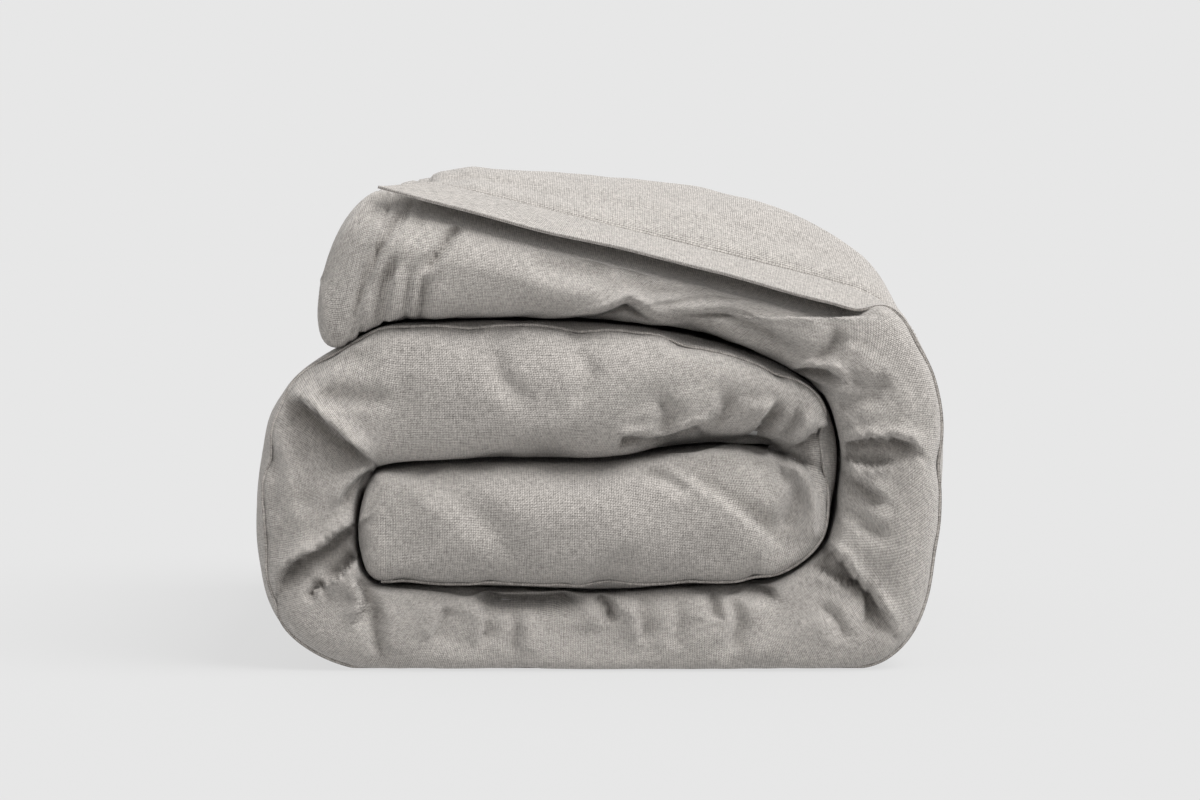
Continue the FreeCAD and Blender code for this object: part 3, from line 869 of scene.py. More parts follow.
# %% Build the weave group
def weave_group():
    group = bpy.data.node_groups.new("uneven_weave", "ShaderNodeTree")
    sockets = group.interface
    sockets.new_socket("Cloth Map", in_out="INPUT", socket_type="NodeSocketVector")
    for name, value in (("Threads Per Metre", 900.0), ("Slub", 0.5), ("Mottle", 0.5), ("Waver", 0.6)):
        sockets.new_socket(name, in_out="INPUT", socket_type="NodeSocketFloat").default_value = value
    for name, value in (("Light Yarn", (0.5, 0.47, 0.44, 1)), ("Dark Yarn", (0.3, 0.28, 0.26, 1))):
        sockets.new_socket(name, in_out="INPUT", socket_type="NodeSocketColor").default_value = value
    sockets.new_socket("Color", in_out="OUTPUT", socket_type="NodeSocketColor")
    sockets.new_socket("Height", in_out="OUTPUT", socket_type="NodeSocketFloat")
    sockets.new_socket("Roughness", in_out="OUTPUT", socket_type="NodeSocketFloat")
    given = add_node(group, "NodeGroupInput", (-1400, 0))
    result = add_node(group, "NodeGroupOutput", (900, 0))
    cloth = given.outputs["Cloth Map"]

    waver = add_node(group, "ShaderNodeTexNoise", (-1200, -300))
    waver.inputs["Scale"].default_value = 160.0
    waver.inputs["Detail"].default_value = 2.0
    group.links.new(cloth, waver.inputs["Vector"])
    offset = add_node(group, "ShaderNodeVectorMath", (-1000, -300), operation="SUBTRACT")
    group.links.new(waver.outputs["Color"], offset.inputs[0])
    offset.inputs[1].default_value = (0.5, 0.5, 0.5)
    amount = add_node(group, "ShaderNodeVectorMath", (-840, -300), operation="SCALE")
    group.links.new(offset.outputs[0], amount.inputs[0])
    group.links.new(given.outputs["Waver"], amount.inputs["Scale"])
    scaled = add_node(group, "ShaderNodeVectorMath", (-1000, 100), operation="SCALE")
    group.links.new(cloth, scaled.inputs[0])
    group.links.new(given.outputs["Threads Per Metre"], scaled.inputs["Scale"])
    threads = add_node(group, "ShaderNodeVectorMath", (-700, 100), operation="ADD")
    group.links.new(scaled.outputs[0], threads.inputs[0])
    group.links.new(amount.outputs[0], threads.inputs[1])
    split = add_node(group, "ShaderNodeSeparateXYZ", (-540, 100))
    group.links.new(threads.outputs[0], split.inputs[0])
    u, v = split.outputs["X"], split.outputs["Y"]

    warp = math_node(group, "ABSOLUTE", math_node(group, "SINE", math_node(group, "MULTIPLY", v, math.pi)))
    weft = math_node(group, "ABSOLUTE", math_node(group, "SINE", math_node(group, "MULTIPLY", u, math.pi)))
    cells = math_node(group, "ADD", math_node(group, "FLOOR", u), math_node(group, "FLOOR", v))
    over = math_node(group, "PINGPONG", cells, 1.0)
    picked = math_node(group, "ADD",
                       math_node(group, "MULTIPLY", warp, over),
                       math_node(group, "MULTIPLY", weft, math_node(group, "SUBTRACT", 1.0, over)))

    along_warp = stretched_noise(group, cloth, (150.0, 720.0, 1.0))
    along_weft = stretched_noise(group, cloth, (680.0, 140.0, 1.0))
    patches = stretched_noise(group, cloth, (26.0, 26.0, 1.0), detail=4.0)
    slubs = math_node(group, "SUBTRACT", math_node(group, "ADD", along_warp, along_weft), 1.0)
    slub = math_node(group, "MULTIPLY", slubs, given.outputs["Slub"])
    mottle = math_node(group, "MULTIPLY", math_node(group, "SUBTRACT", patches, 0.5), given.outputs["Mottle"])
    uneven = math_node(group, "ADD", slub, mottle)
    shade = math_node(group, "ADD", math_node(group, "MULTIPLY", picked, 0.95), uneven)
    shade = math_node(group, "SUBTRACT", shade, 0.08, clamp=True)
    mix = add_node(group, "ShaderNodeMix", (500, 200), data_type="RGBA")
    group.links.new(shade, mix.inputs["Factor"])
    group.links.new(given.outputs["Dark Yarn"], mix.inputs["A"])
    group.links.new(given.outputs["Light Yarn"], mix.inputs["B"])
    group.links.new(mix.outputs["Result"], result.inputs["Color"])
    height = math_node(group, "ADD", picked, math_node(group, "MULTIPLY", slub, 1.4))
    group.links.new(height, result.inputs["Height"])
    rough = math_node(group, "SUBTRACT", 0.96, math_node(group, "MULTIPLY", shade, 0.12))
    group.links.new(rough, result.inputs["Roughness"])
    return group


WEAVE = weave_group()
print("weave nodes", len(WEAVE.nodes))

# %% [markdown]
# One function gives every woven cloth, with its two tones, its thread count and how uneven it is.

# %% Woven materials
def woven_material(name, light, dark, threads=740.0, slub=1.15, mottle=0.3, depth=0.0009, sheen=0.25):
    """A matte woven cloth from the weave group, with a soft fuzz."""
    material = bpy.data.materials.new(name)
    material.use_nodes = True
    tree = material.node_tree
    shader = tree.nodes["Principled BSDF"]
    source = add_node(tree, "ShaderNodeUVMap", (-900, 0), uv_map="cloth")
    weave = add_node(tree, "ShaderNodeGroup", (-650, 0), node_tree=WEAVE)
    tree.links.new(source.outputs["UV"], weave.inputs["Cloth Map"])
    weave.inputs["Threads Per Metre"].default_value = threads
    weave.inputs["Slub"].default_value = slub
    weave.inputs["Mottle"].default_value = mottle
    weave.inputs["Light Yarn"].default_value = (*light, 1)
    weave.inputs["Dark Yarn"].default_value = (*dark, 1)
    bump = add_node(tree, "ShaderNodeBump", (-300, -250))
    bump.inputs["Strength"].default_value = 0.7
    bump.inputs["Distance"].default_value = depth
    tree.links.new(weave.outputs["Height"], bump.inputs["Height"])
    tree.links.new(weave.outputs["Color"], shader.inputs["Base Color"])
    tree.links.new(weave.outputs["Roughness"], shader.inputs["Roughness"])
    tree.links.new(bump.outputs["Normal"], shader.inputs["Normal"])
    shader.inputs["Sheen Weight"].default_value = sheen
    shader.inputs["Sheen Roughness"].default_value = 0.5
    shader.inputs["Specular IOR Level"].default_value = 0.2
    return material


linen = woven_material("washed_linen", (0.60, 0.562, 0.524), (0.17, 0.157, 0.144))
for piece in (cover_roll, cover_top):
    piece.data.materials.append(linen)
print("linen ready")

# %% [markdown]
# ## The flat hem along the free edge
#
# The flat hem is a ribbon of doubled linen, 50 mm wide and sewn to the cover along the seam. Round
# the roll it lies on the padding. On top it stands free of the slack shoulder as a plate, and its
# left half is a flap that can be turned up about the seam.

# %% Lines on the cover's surface, forward from the seam
PLY = 1.6  # two plies of linen
FOLD_MIDDLE = int(np.argmin(np.abs(FINE_SECTION[:, 0] - 0.5) + (FINE_SECTION[:, 1] > 0) * 9))
HEM_LIFT = 0.2  # between the hem and what it lies on
SEAM_DIP = 2.4  # the stitches pull the hem down into the seam
EDGE_ROLL = 0.8  # the free edge is folded over, so it is this much thicker
across = np.array([0, 1.2, 2.4, 3.8, 5.5, 8, 12, 17, 23, 29, 35, 41, 46, 48.5, 50.0])
free_edge = EDGE_ROLL * np.exp(-(((FLANGE_WIDTH - across) / 3.0) ** 2))


def lying_on_padding(points):
    """For each row, points at distances forward from the seam, measured over the surface.

    The hem is drawn in a little where layers press on it, and lies flatter on the open left wall."""
    found = np.empty((len(points), len(across), 3))
    for number, row in enumerate(points[:, :FOLD_MIDDLE + 4]):
        travel = length_along(row)
        open_wall = smooth(-245, -262, row[0, 0]) * smooth(20, 60, row[0, 2])
        distances = across * (0.72 + 0.2 * open_wall)
        start = np.interp(-SEAM_Y, -row[:, 1], travel)
        for axis in range(3):
            found[number, :, axis] = np.interp(start + distances, travel, row[:, axis])
    return found


def smooth_rows(points, times):
    for _ in range(times):
        middle = (points[:-2] + 2 * points[1:-1] + points[2:]) / 4
        points = np.concatenate([points[:1], middle, points[-1:]])
    return points


def standing_plate(x, distances):
    """Points of the flat hem where it stands free. It falls to the front, sags and waves slightly."""
    x = x if x.ndim == 2 else np.repeat(x[:, None], len(distances), 1)
    v = np.broadcast_to(distances, x.shape)
    share = v / FLANGE_WIDTH
    wave = 1.0 * np.sin(x / 37.0) + 0.4 * np.sin(x / 16.5 + 1.0)
    z = seam_height(x) + TILT_Z * v - PLATE_SAG * share**2 + wave * share**2
    z = z - SEAM_DIP * np.exp(-((v / 2.8) ** 2))
    return np.stack([x, SEAM_Y + TILT_Y * v + 0.5 * wave * share, z], axis=2)

# %% [markdown]
# ## Ribbons with real thickness
#
# Flat cloth could be a single surface with a Solidify modifier. A closed grid is used instead,
# because it keeps the cloth map on both sides and gives the free edge its extra ply.

# %% A closed ribbon
def ribbon(name, points, thickness=PLY, lift=0.0, edge=None, flip=False):
    """A closed ribbon with real thickness on a grid of points. Its free edge can be a little thicker."""
    along, over = np.gradient(points, axis=0), np.gradient(points, axis=1)
    normal = np.cross(along, over)
    normal /= np.linalg.norm(normal, axis=2)[..., None] + 1e-9
    if flip:
        normal = -normal
    thick = np.full(points.shape[1], thickness) + (0 if edge is None else edge)
    upper = points + normal * (lift + thick[:, None])
    lower = points + normal * lift
    ring = np.concatenate([upper, lower[:, ::-1]], axis=1)
    section = np.column_stack([np.full(ring.shape[1], 0.5), np.zeros(ring.shape[1])])
    piece = new_mesh(name, ring, grid_faces(len(ring), section, (False, False)))
    face_outward(piece)
    over = length_along(points[len(points) // 2])
    side = np.concatenate([over, over[-1] + thickness + over])
    lay_cloth_map(piece, ring.shape[1], length_along(points[:, points.shape[1] // 2]), side)
    for face in piece.data.polygons:
        face.use_smooth = True
    piece.data.set_sharp_from_angle(angle=math.radians(50))
    return piece, normal

# %% [markdown]
# The hem rests on the padding where it can and stands free at the top. It is made in three parts, on the roll,
# on the top and as the flap, and only the part on the roll is put on its body.

# %% Lay the hem round the roll, on the shoulder and as a flap
SMOOTHINGS = 6
PRESSED_UP = 3.0  # under the base the hem is pressed up into the padding, to this height
FREE_ROWS = 60  # the hem can stand free from this many rows before the cut
FLAP_ROWS = 60
on_padding = smooth_rows(lying_on_padding(fine), SMOOTHINGS)
root = on_padding[:, 0]
rests = smooth(180, 236, root[:, 0]) + (root[:, 2] < 240) + (np.arange(len(root)) < CUT - FREE_ROWS)
rests = np.clip(rests, 0, 1)[:, None, None]
hem_points = on_padding * rests + standing_plate(root[:, 0], across) * (1 - rests)
hem_points[..., 2] = np.maximum(hem_points[..., 2], PRESSED_UP)
on_top = np.arange(len(root)) >= CUT
to_flap = np.where(on_top & (root[:, 0] > FLAP_ROOT + 1.5))[0].max()
flap_edge = standing_plate(np.array([FLAP_ROOT]), across)
top_points = np.concatenate([hem_points[CUT:to_flap + 1], flap_edge])
share = np.linspace(0, 1, FLAP_ROWS)[:, None]
flap_x = FLAP_ROOT - share * (FLAP_ROOT - FLAP_SEAM_END + across[None, :])
flap_points = standing_plate(flap_x, across)

first_hem_row = END_ROWS * ROW_SPLIT
roll_points = hem_points[first_hem_row:CUT + 1]
middle_of_flap = (FLAP_ROWS // 2, len(across) // 2 - 1)
upward = np.cross(np.gradient(flap_points, axis=0), np.gradient(flap_points, axis=1))[middle_of_flap][2]
flip = bool(upward < 0)
flange_roll, roll_normal = ribbon("flange_roll", roll_points, lift=HEM_LIFT, edge=free_edge, flip=flip)
flange_top, top_normal = ribbon("flange_top", top_points, lift=HEM_LIFT, edge=free_edge, flip=flip)
flange_flap, flap_normal = ribbon("flange_flap", flap_points, lift=HEM_LIFT, edge=free_edge, flip=flip)


def turns_with_flap(piece):
    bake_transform(piece)


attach(flange_roll, "roll")
bends_with_top(flange_top)
turns_with_flap(flange_flap)
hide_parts("side_flange_roll")
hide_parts("side_flange_flap")
for piece in (flange_roll, flange_top, flange_flap):
    piece.data.materials.append(linen)
print("hem rows", len(roll_points), len(top_points), len(flap_points))

# %% [markdown]
# ## Stitches
#
# The hem is closed by one row of stitches beside the seam. Each stitch is a short thread that
# stands a little proud of the linen, with few faces, because there are hundreds.

# %% Stitch rows
STITCH = 2.5
STITCH_STEP = 3.5
THREAD = 0.42


def stitch_row(name, line, normals, material, lift=0.25):
    """Short threads laid end to end along a line of points in millimetres."""
    travel = length_along(line)
    points, faces = [], []
    ring_angles = [math.pi / 3 * k for k in range(6)]
    for start in np.arange(0.5, travel[-1] - STITCH, STITCH_STEP):
        ends = [np.array([np.interp(t, travel, line[:, a]) for a in range(3)]) for t in (start, start + STITCH)]
        up = np.array([np.interp(start, travel, normals[:, a]) for a in range(3)])
        along = ends[1] - ends[0]
        along /= np.linalg.norm(along) + 1e-9
        up -= along * (up @ along)
        up /= np.linalg.norm(up) + 1e-9
        beside = np.cross(along, up)
        base = len(points)
        points.append(ends[0] + up * (lift - 0.35))
        for place in (0.22, 0.78):
            middle = ends[0] + (ends[1] - ends[0]) * place + up * lift
            for a in ring_angles:
                points.append(middle + THREAD * (math.cos(a) * beside + math.sin(a) * up))
        points.append(ends[1] + up * (lift - 0.35))
        for k in range(6):
            n = (k + 1) % 6
            faces.append((base, base + 1 + n, base + 1 + k))
            faces.append((base + 1 + k, base + 1 + n, base + 7 + n, base + 7 + k))
            faces.append((base + 13, base + 7 + k, base + 7 + n))
    piece = new_mesh(name, np.array(points), faces)
    face_outward(piece)
    for face in piece.data.polygons:
        face.use_smooth = True
    piece.data.materials.append(material)
    return piece

# %% [markdown]
# The thread is a twist of two tones. The fibre and the shell below use the same function.

# %% Thread
def two_tone_material(name, texture, settings, dark, light, roughness, **looks):
    """A material whose colour runs between two tones, as a texture says. Gives the texture node too."""
    material = bpy.data.materials.new(name)
    material.use_nodes = True
    tree = material.node_tree
    shader = tree.nodes["Principled BSDF"]
    place = add_node(tree, "ShaderNodeTexCoord", (-1100, 0))
    pattern = add_node(tree, texture, (-800, 0), **looks)
    for socket, value in settings.items():
        pattern.inputs[socket].default_value = value
    tree.links.new(place.outputs["Object"], pattern.inputs["Vector"])
    ramp = add_node(tree, "ShaderNodeValToRGB", (-500, 100))
    ramp.color_ramp.elements[0].color = (*dark, 1)
    ramp.color_ramp.elements[1].color = (*light, 1)
    tree.links.new(pattern.outputs["Fac"], ramp.inputs["Fac"])
    tree.links.new(ramp.outputs["Color"], shader.inputs["Base Color"])
    shader.inputs["Roughness"].default_value = roughness
    return material, shader, pattern


thread, shader, _ = two_tone_material(
    "linen_thread", "ShaderNodeTexWave", {"Scale": 700.0, "Distortion": 1.0},
    (0.30, 0.28, 0.255), (0.46, 0.43, 0.40), 0.85, wave_type="BANDS", bands_direction="DIAGONAL",
)
shader.inputs["Sheen Weight"].default_value = 0.2
print("made", thread.name)

# %% [markdown]
# The stitches go on top of the hem. A small function gives a sheet's size when flat.

# %% Stitch the hem, and a sheet's size when flat
STITCH_IN = 4.0  # from the seam to the stitches
near_seam = int(np.argmin(np.abs(across - STITCH_IN)))


def hem_stitches(name, points, normal):
    line = points[:, near_seam] + normal[:, near_seam] * (PLY + HEM_LIFT)
    return stitch_row(name, line, normal[:, near_seam], thread)


stitches_top = hem_stitches("flange_stitches_top", top_points, top_normal)
stitches_flap = hem_stitches("flange_stitches_flap", flap_points, flap_normal)
SHOULDER_ROWS = 40  # the stitches on the roll are seen only on its right shoulder
stitches_roll = hem_stitches(
    "flange_stitches_roll", roll_points[-SHOULDER_ROWS:], roll_normal[-SHOULDER_ROWS:]
)
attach(stitches_roll, "roll")
bends_with_top(stitches_top)
turns_with_flap(stitches_flap)


def flat_size(points):
    width = np.linalg.norm(np.diff(points, axis=1), axis=2).sum(axis=1).mean()
    length = length_along(points[:, points.shape[1] // 2])[-1]
    return (round(width * MM, 3), round(length * MM, 3))


# %% [markdown]
# ## What the cover holds
#
# The insert was folded in three with its cover, so each layer of the roll holds three thicknesses
# of insert, with the cover's reverse side folded in between. Each third is a cotton shell over
# fibre, with walls between its boxes. They are seen only where the roll is taken apart, so their
# grids are coarser.

# %% The folded insert
THIRD_NAMES = ("inner", "middle", "outer")
INSERT_INSET = 7.0
INSERT_FOLD = 42.0
BOX = 190.0  # one box of the insert, each way
THIRD_THICK = 35.0
COARSE_STEP = 13.0
coarse_rows = strip_rows(COARSE_STEP)


def third_points(number, inset, fold_inset):
    low, high = number / 3 + 0.02, (number + 1) / 3 - 0.02
    points = strip_points(inset, low, high, fold_inset, coarse_rows)[END_ROWS + 1:-END_ROWS - 3]
    mirrored = (points + points[:, MIRROR]) / 2
    travel = length_along(points[:, 0]) - 90
    along = np.abs((travel / BOX) % 1 - 0.5) * BOX
    over = np.abs((points[0, :, 1] / BOX + 0.5) % 1 - 0.5) * BOX
    dent = np.maximum(np.exp(-((BOX / 2 - along) / 12) ** 2)[:, None], np.exp(-(over / 12) ** 2)[None, :])
    return points + (mirrored - points) * 0.3 * dent[..., None]

# %% [markdown]
# Every layer inside is cut at the bend, like the cover, and its part on the roll goes on the roll's body.

# %% Make a layer in two parts
def plain_tube(name, points, section, step):
    piece = new_mesh(name, points, grid_faces(len(points), section, (False, False)))
    face_outward(piece)
    lay_cloth_map(piece, len(section), np.arange(len(points)) * step, ring_length(section, THIRD_THICK))
    for face in piece.data.polygons:
        face.use_smooth = True
    return piece


def place_pair(name, node, material, points, make):
    """Make the part of a layer on each side of the bend, and put the part on the roll on its body."""
    cut = cut_row(points)
    made = []
    for side, rows in (("roll", points[:cut + 1]), ("top", points[cut:])):
        piece = make(f"{name}_{side}", rows)
        piece.data.materials.append(material)
        if side == "roll":
            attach(piece, "roll")
        else:
            bends_with_top(piece)
        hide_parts(f"{node}_{side}")
        made.append(piece)
    return made

# %% [markdown]
# The shell is closely woven cotton, so it uses the same weave with finer thread. The fibre is a
# mass of fine curls, so distorted noise gives it both its tone and its bumps.

# %% Fibre, ticking and baffle cloth
fibre, shader, tufts = two_tone_material(
    "white_fibre", "ShaderNodeTexNoise", {"Scale": 320.0, "Detail": 8.0, "Distortion": 2.5},
    (0.72, 0.715, 0.70), (0.93, 0.93, 0.92), 0.95,
)
bump = add_node(fibre.node_tree, "ShaderNodeBump", (-300, -200))
bump.inputs["Distance"].default_value = 0.002
fibre.node_tree.links.new(tufts.outputs["Fac"], bump.inputs["Height"])
fibre.node_tree.links.new(bump.outputs["Normal"], shader.inputs["Normal"])
shader.inputs["Sheen Weight"].default_value = 0.4

ticking = woven_material(
    "cotton_ticking", (0.88, 0.875, 0.86), (0.70, 0.695, 0.68),
    threads=1500.0, slub=0.25, mottle=0.15, depth=0.0002,
)
baffle_cloth = woven_material(
    "baffle_cotton", (0.86, 0.85, 0.83), (0.66, 0.65, 0.63),
    threads=1100.0, slub=0.3, mottle=0.2, depth=0.0003,
)
print("insert materials", ticking.name, baffle_cloth.name, fibre.name)

# %% [markdown]
# A loop makes the shell, the fibre and the walls of each third from one grid.

# %% Shells, fibre and walls of each third
SPARSE = SECTION[::2]


def tube_maker(name, rows):
    return plain_tube(name, rows, SPARSE, COARSE_STEP)


def join_pieces(made, name):
    bpy.ops.object.select_all(action="DESELECT")
    for piece in made:
        piece.select_set(True)
    bpy.context.view_layer.objects.active = made[0]
    if len(made) > 1:
        bpy.ops.object.join()
    made[0].name = name
    made[0].data.name = name
    return made[0]


def wall_maker(name, rows):
    """Walls along the strip, as one piece of thin closed ribbons."""
    made = []
    for column in wall_columns:
        line = rows[:, [column, MIRROR[column]]]
        grid = line[:, :1] + (line[:, 1:] - line[:, :1]) * np.linspace(0.04, 0.96, 4)[None, :, None]
        piece, _ = ribbon(f"{name}_{column}", grid, thickness=0.6)
        made.append(piece)
    return join_pieces(made, name)


wall_columns = [int(np.argmin(np.abs(SECTION[:, 1] - y) + (SECTION[:, 0] < 0.99) * 999)) for y in (-95, 95)]
for number, third in enumerate(THIRD_NAMES):
    shell = third_points(number, INSERT_INSET, INSERT_FOLD)
    filling = third_points(number, INSERT_INSET + 1.2, INSERT_FOLD + 2.4)
    shells = place_pair(
        f"insert_shell_{third}", f"insert_ticking_{third}_third",
        ticking, shell[:, ::2], tube_maker,
    )
    fillings = place_pair(
        f"insert_fibre_{third}", f"insert_filling_{third}_third",
        fibre, filling[:, ::2], tube_maker,
    )
    place_pair(
        f"insert_walls_{third}", f"insert_baffles_{third}_third",
        baffle_cloth, filling, wall_maker,
    )
print("insert pieces made")

# %% [markdown]
# Between the thirds lies the reverse side of the cover, as two long folded sheets.

# %% The cover's reverse side, folded in between the thirds
REVERSE = (("first_fold", 1 / 3, -262.0, 290.0), ("second_fold", 2 / 3, -274.0, 276.0))
SHEET_COLUMNS = 25
LINEN_THICK = 0.8


def across_roll(path, y_line):
    """A grid that repeats a path's x and z at each y."""
    x, z = (np.repeat(path[:, k:k + 1], len(y_line), 1) for k in (0, 1))
    return np.stack([x, np.repeat(y_line[None, :], len(path), 0), z], axis=2)


def sheet_maker(name, rows):
    return ribbon(name, rows, thickness=LINEN_THICK)[0]


for fold, share_n, y_from, y_to in REVERSE:
    inner, outer, _ = coarse_rows
    middle = inner + (outer - inner) * (0.04 + 0.92 * share_n)
    middle = middle[1:-1]
    grid = across_roll(middle, np.linspace(y_from, y_to, SHEET_COLUMNS))
    cut = cut_row(grid)
    pair = place_pair(f"reverse_{fold}", f"cover_reverse_panel_{fold}", linen, grid, sheet_maker)
    for piece, rows in zip(pair, (grid[:cut + 1], grid[cut:])):
        print(piece.name, "flat", flat_size(rows))

# %% [markdown]
# ## The opening
#
# The cover opens at its free end. Inside the hem are two facings in each third, closed by buttons,
# with ties in the corners that hold the loops of the insert, and a blank label.

# %% Facings, buttons, ties, loops and label
OPENING_X = (-203.0, -168.0)
OPENING_HALF = 236.0
OPENING_LEVELS = (309.0, 333.0, 357.0)
FACING_GAP = 4.0
BUTTONS = (2, 3, 2)
BUTTON_RADIUS = 7.5
BUTTON_HIGH = 3.0
HOLE_RADIUS = 1.1
HOLE_OFFSET = 2.2


def laid_grid(x0, x1, y0, y1, z, sag=0.8):
    x = np.linspace(x0, x1, 9)
    y = np.linspace(y0, y1, 61)
    grid_y, grid_x = np.meshgrid(y, x, indexing="ij")
    waves = sag * np.sin(grid_y / 31.0 + z) * np.sin((grid_x - x0) / (x1 - x0) * math.pi)
    return np.stack([grid_x, grid_y, z + waves], axis=2)


def put_in_opening(piece, node):
    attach(piece, "top_layer")
    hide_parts(node)

# %% [markdown]
# Each facing is a strip of firmer linen. The three strips of one side are joined into one piece.

# %% Facings
facing_linen = woven_material("facing_linen", (0.53, 0.495, 0.46), (0.22, 0.203, 0.186), 900.0, 0.8, 0.3)
for side, which in ((1, "upper"), (-1, "lower")):
    made = []
    for number, level in enumerate(OPENING_LEVELS):
        grid = laid_grid(*OPENING_X, -OPENING_HALF, OPENING_HALF, level + side * FACING_GAP)
        made.append(ribbon(f"facing_{which}_{number}", grid, thickness=1.2)[0])
    facing = join_pieces(made, f"opening_facings_{which}")
    facing.data.materials.append(facing_linen)
    put_in_opening(facing, f"opening_facing_{which}")

# %% [markdown]
# ## Buttons
#
# A shell button starts as a short cylinder. Four holes are cut through it with Boolean modifiers,
# and a Bevel modifier rolls its rim. The seven buttons are then joined into one piece.

# %% One four-hole button
def shell_button(number, x, y, z):
    """A four-hole button: a disc with a rolled rim, and holes cut through it."""
    bpy.ops.object.select_all(action="DESELECT")
    bpy.ops.mesh.primitive_cylinder_add(vertices=40, radius=BUTTON_RADIUS * MM, depth=BUTTON_HIGH * MM,
                                        location=(x * MM, y * MM, z * MM))
    disc = bpy.context.active_object
    for dx in (-HOLE_OFFSET, HOLE_OFFSET):
        for dy in (-HOLE_OFFSET, HOLE_OFFSET):
            bpy.ops.mesh.primitive_cylinder_add(
                vertices=16, radius=HOLE_RADIUS * MM, depth=3 * BUTTON_HIGH * MM,
                location=((x + dx) * MM, (y + dy) * MM, z * MM),
            )
            drill = bpy.context.active_object
            cut = disc.modifiers.new("hole", "BOOLEAN")
            cut.object = drill
            cut.operation = "DIFFERENCE"
            bpy.context.view_layer.objects.active = disc
            bpy.ops.object.modifier_apply(modifier="hole")
            bpy.data.objects.remove(drill)
    rim = disc.modifiers.new("rim", "BEVEL")
    rim.width = 0.5 * MM
    rim.segments = 3
    rim.limit_method = "ANGLE"
    rim.angle_limit = math.radians(50)
    bpy.context.view_layer.objects.active = disc
    bpy.ops.object.modifier_apply(modifier="rim")
    bpy.ops.object.select_all(action="DESELECT")
    disc.select_set(True)
    bpy.ops.object.transform_apply(location=True, rotation=True, scale=True)
    bpy.ops.object.shade_smooth_by_angle(angle=math.radians(40))
    disc.name = f"button_{number}"
    return disc

# %% [markdown]
# Shell has faint layers in two warm tones under a light gloss.

# %% Shell
pale_shell, shader, _ = two_tone_material(
    "pale_shell", "ShaderNodeTexNoise", {"Scale": 120.0, "Detail": 5.0, "Distortion": 3.0},
    (0.62, 0.57, 0.50), (0.86, 0.83, 0.78), 0.28,
)
shader.inputs["Coat Weight"].default_value = 0.3
print("made", pale_shell.name)

# %% [markdown]
# The buttons are spread evenly along each third's opening.

# %% Sew the buttons on
made = []
for number, (level, count) in enumerate(zip(OPENING_LEVELS, BUTTONS)):
    for i in range(count):
        y = OPENING_HALF * 0.8 * (2 * (i + 0.5) / count - 1)
        made.append(shell_button(len(made), sum(OPENING_X) / 2, y, level + 0.6))
buttons = join_pieces(made, "shell_buttons")
buttons.data.materials.clear()
buttons.data.materials.append(pale_shell)
put_in_opening(buttons, "closure_buttons")
print("buttons", sum(BUTTONS))

# %% [markdown]
# A tie or loop is a flat cotton tape turned back on itself.

# %% Ties and loops
def tape_loop(x0, x1, y, z, half=5.02, rise=2.2):
    """A flat tape turned back on itself, as a closed ribbon."""
    angle = np.linspace(0, math.pi, 9)
    upper = [(x, z + rise) for x in np.linspace(x1, x0 + rise, 9)]
    turn = [(x0 + rise - rise * math.sin(a), z + rise * math.cos(a)) for a in angle[1:-1]]
    lower = [(x, z - rise) for x in np.linspace(x0 + rise, x1, 9)]
    path = np.array(upper + turn + lower)
    return across_roll(path, np.linspace(y - half, y + half, 5))


tape = woven_material("cotton_tape", (0.62, 0.60, 0.56), (0.36, 0.345, 0.32), 1300.0, 0.4, 0.2, 0.0003)
corners = ((-228.0, OPENING_LEVELS[2]), (228.0, OPENING_LEVELS[0]))
for name, node, x0, x1 in (
    ("corner_ties", "cover_corner_ties", -201.0, -184.0),
    ("corner_loops", "insert_corner_loops", -186.0, -169.0),
):
    grids = [tape_loop(x0, x1, y, z + 0.8) for y, z in corners]
    piece = join_pieces([ribbon(f"{name}_{k}", g, thickness=0.9)[0] for k, g in enumerate(grids)], name)
    piece.data.materials.append(tape)
    put_in_opening(piece, node)

# %% [markdown]
# The label is a small piece of satin tape with nothing printed on it.

# %% Blank label
label_grid = laid_grid(-198.0, -176.0, -50.0, -20.0, OPENING_LEVELS[1] - FACING_GAP + 2.2, 0.3)
label = ribbon("blank_label", label_grid, thickness=0.5)[0]
label_satin = woven_material(
    "label_satin", (0.90, 0.90, 0.89), (0.78, 0.78, 0.77),
    threads=2500.0, slub=0.1, mottle=0.05, depth=0.0001, sheen=0.5,
)
label.data.materials.append(label_satin)
put_in_opening(label, "care_label")
print("opening made")

# %% [markdown]
# ## Floor, light and camera
#
# The studio is plain and pale. A wide soft key light stands to the upper right, and the sky and the
# floor fill the shadows evenly. The floor glows a little by itself, so that the shadow on it stays
# light and its far edge meets the background without a line.

# %% Studio
BACKGROUND = 0.799
KEY_STRENGTH = 3.7
FLOOR_SHADE = 0.085
KEY_FROM = Vector((0.52, -0.24, 0.82)).normalized()
KEY_ANGLE = math.radians(42)
FLOOR_SIZE = 30.0

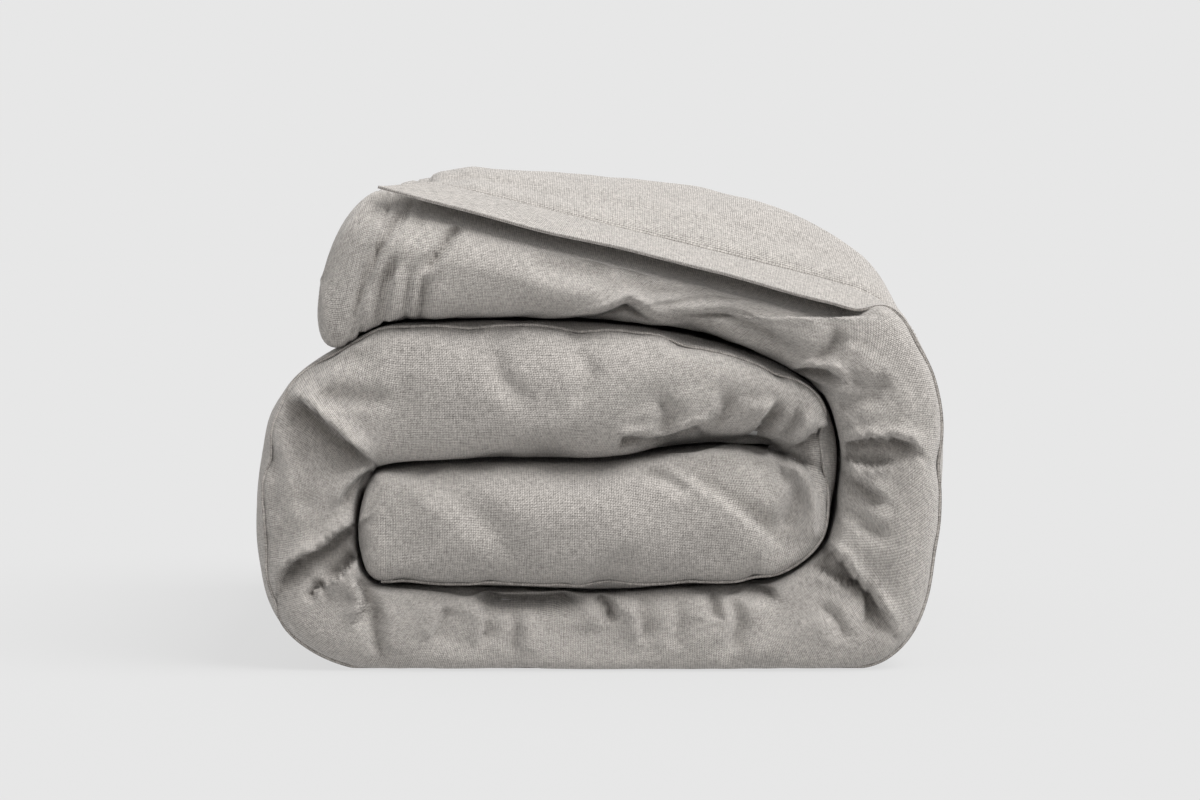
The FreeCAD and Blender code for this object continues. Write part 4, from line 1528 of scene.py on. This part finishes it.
bpy.ops.object.select_all(action="DESELECT")
bpy.ops.mesh.primitive_plane_add(size=FLOOR_SIZE, location=(0, 0, 0))
floor = bpy.context.active_object
floor.name = "studio_floor"
pale = bpy.data.materials.new("pale_floor")
pale.use_nodes = True
shader = pale.node_tree.nodes["Principled BSDF"]
shader.inputs["Base Color"].default_value = (FLOOR_SHADE, FLOOR_SHADE, FLOOR_SHADE, 1)
shader.inputs["Roughness"].default_value = 1.0
shader.inputs["Specular IOR Level"].default_value = 0.0
lit = FLOOR_SHADE * (BACKGROUND + KEY_STRENGTH / math.pi * KEY_FROM.z)
shader.inputs["Emission Color"].default_value = (1, 1, 1, 1)
shader.inputs["Emission Strength"].default_value = BACKGROUND - lit
floor.data.materials.append(pale)

key_data = bpy.data.lights.new("key", "SUN")
key_data.energy = KEY_STRENGTH
key_data.angle = KEY_ANGLE
key = bpy.data.objects.new("key", key_data)
bpy.context.scene.collection.objects.link(key)
key.rotation_euler = KEY_FROM.to_track_quat("Z", "Y").to_euler()

sky = bpy.data.worlds.new("sky")
bpy.context.scene.world = sky
sky.use_nodes = True
sky.node_tree.nodes["Background"].inputs[0].default_value = (1, 1, 1, 1)
sky.node_tree.nodes["Background"].inputs[1].default_value = BACKGROUND
bpy.context.scene.view_settings.view_transform = "Standard"

# %% [markdown]
# The camera stands low and far away, so the front of the roll looks nearly flat.

# %% Camera
CAMERA_AWAY = 3.0
CAMERA_RISE = math.radians(3.4)
CAMERA_AIM = Vector((0, -0.32, 0.219))
VIEW_WIDTH = 0.96  # metres across the view at the front of the roll

lens = bpy.data.cameras.new("camera")
camera = bpy.data.objects.new("camera", lens)
bpy.context.scene.collection.objects.link(camera)
back = Vector((0, -math.cos(CAMERA_RISE), math.sin(CAMERA_RISE)))
camera.location = CAMERA_AIM + CAMERA_AWAY * back
camera.rotation_euler = back.to_track_quat("Z", "Y").to_euler()
lens.sensor_width = 36
lens.lens = lens.sensor_width * CAMERA_AWAY / VIEW_WIDTH
lens.clip_end = 100
bpy.context.scene.camera = camera
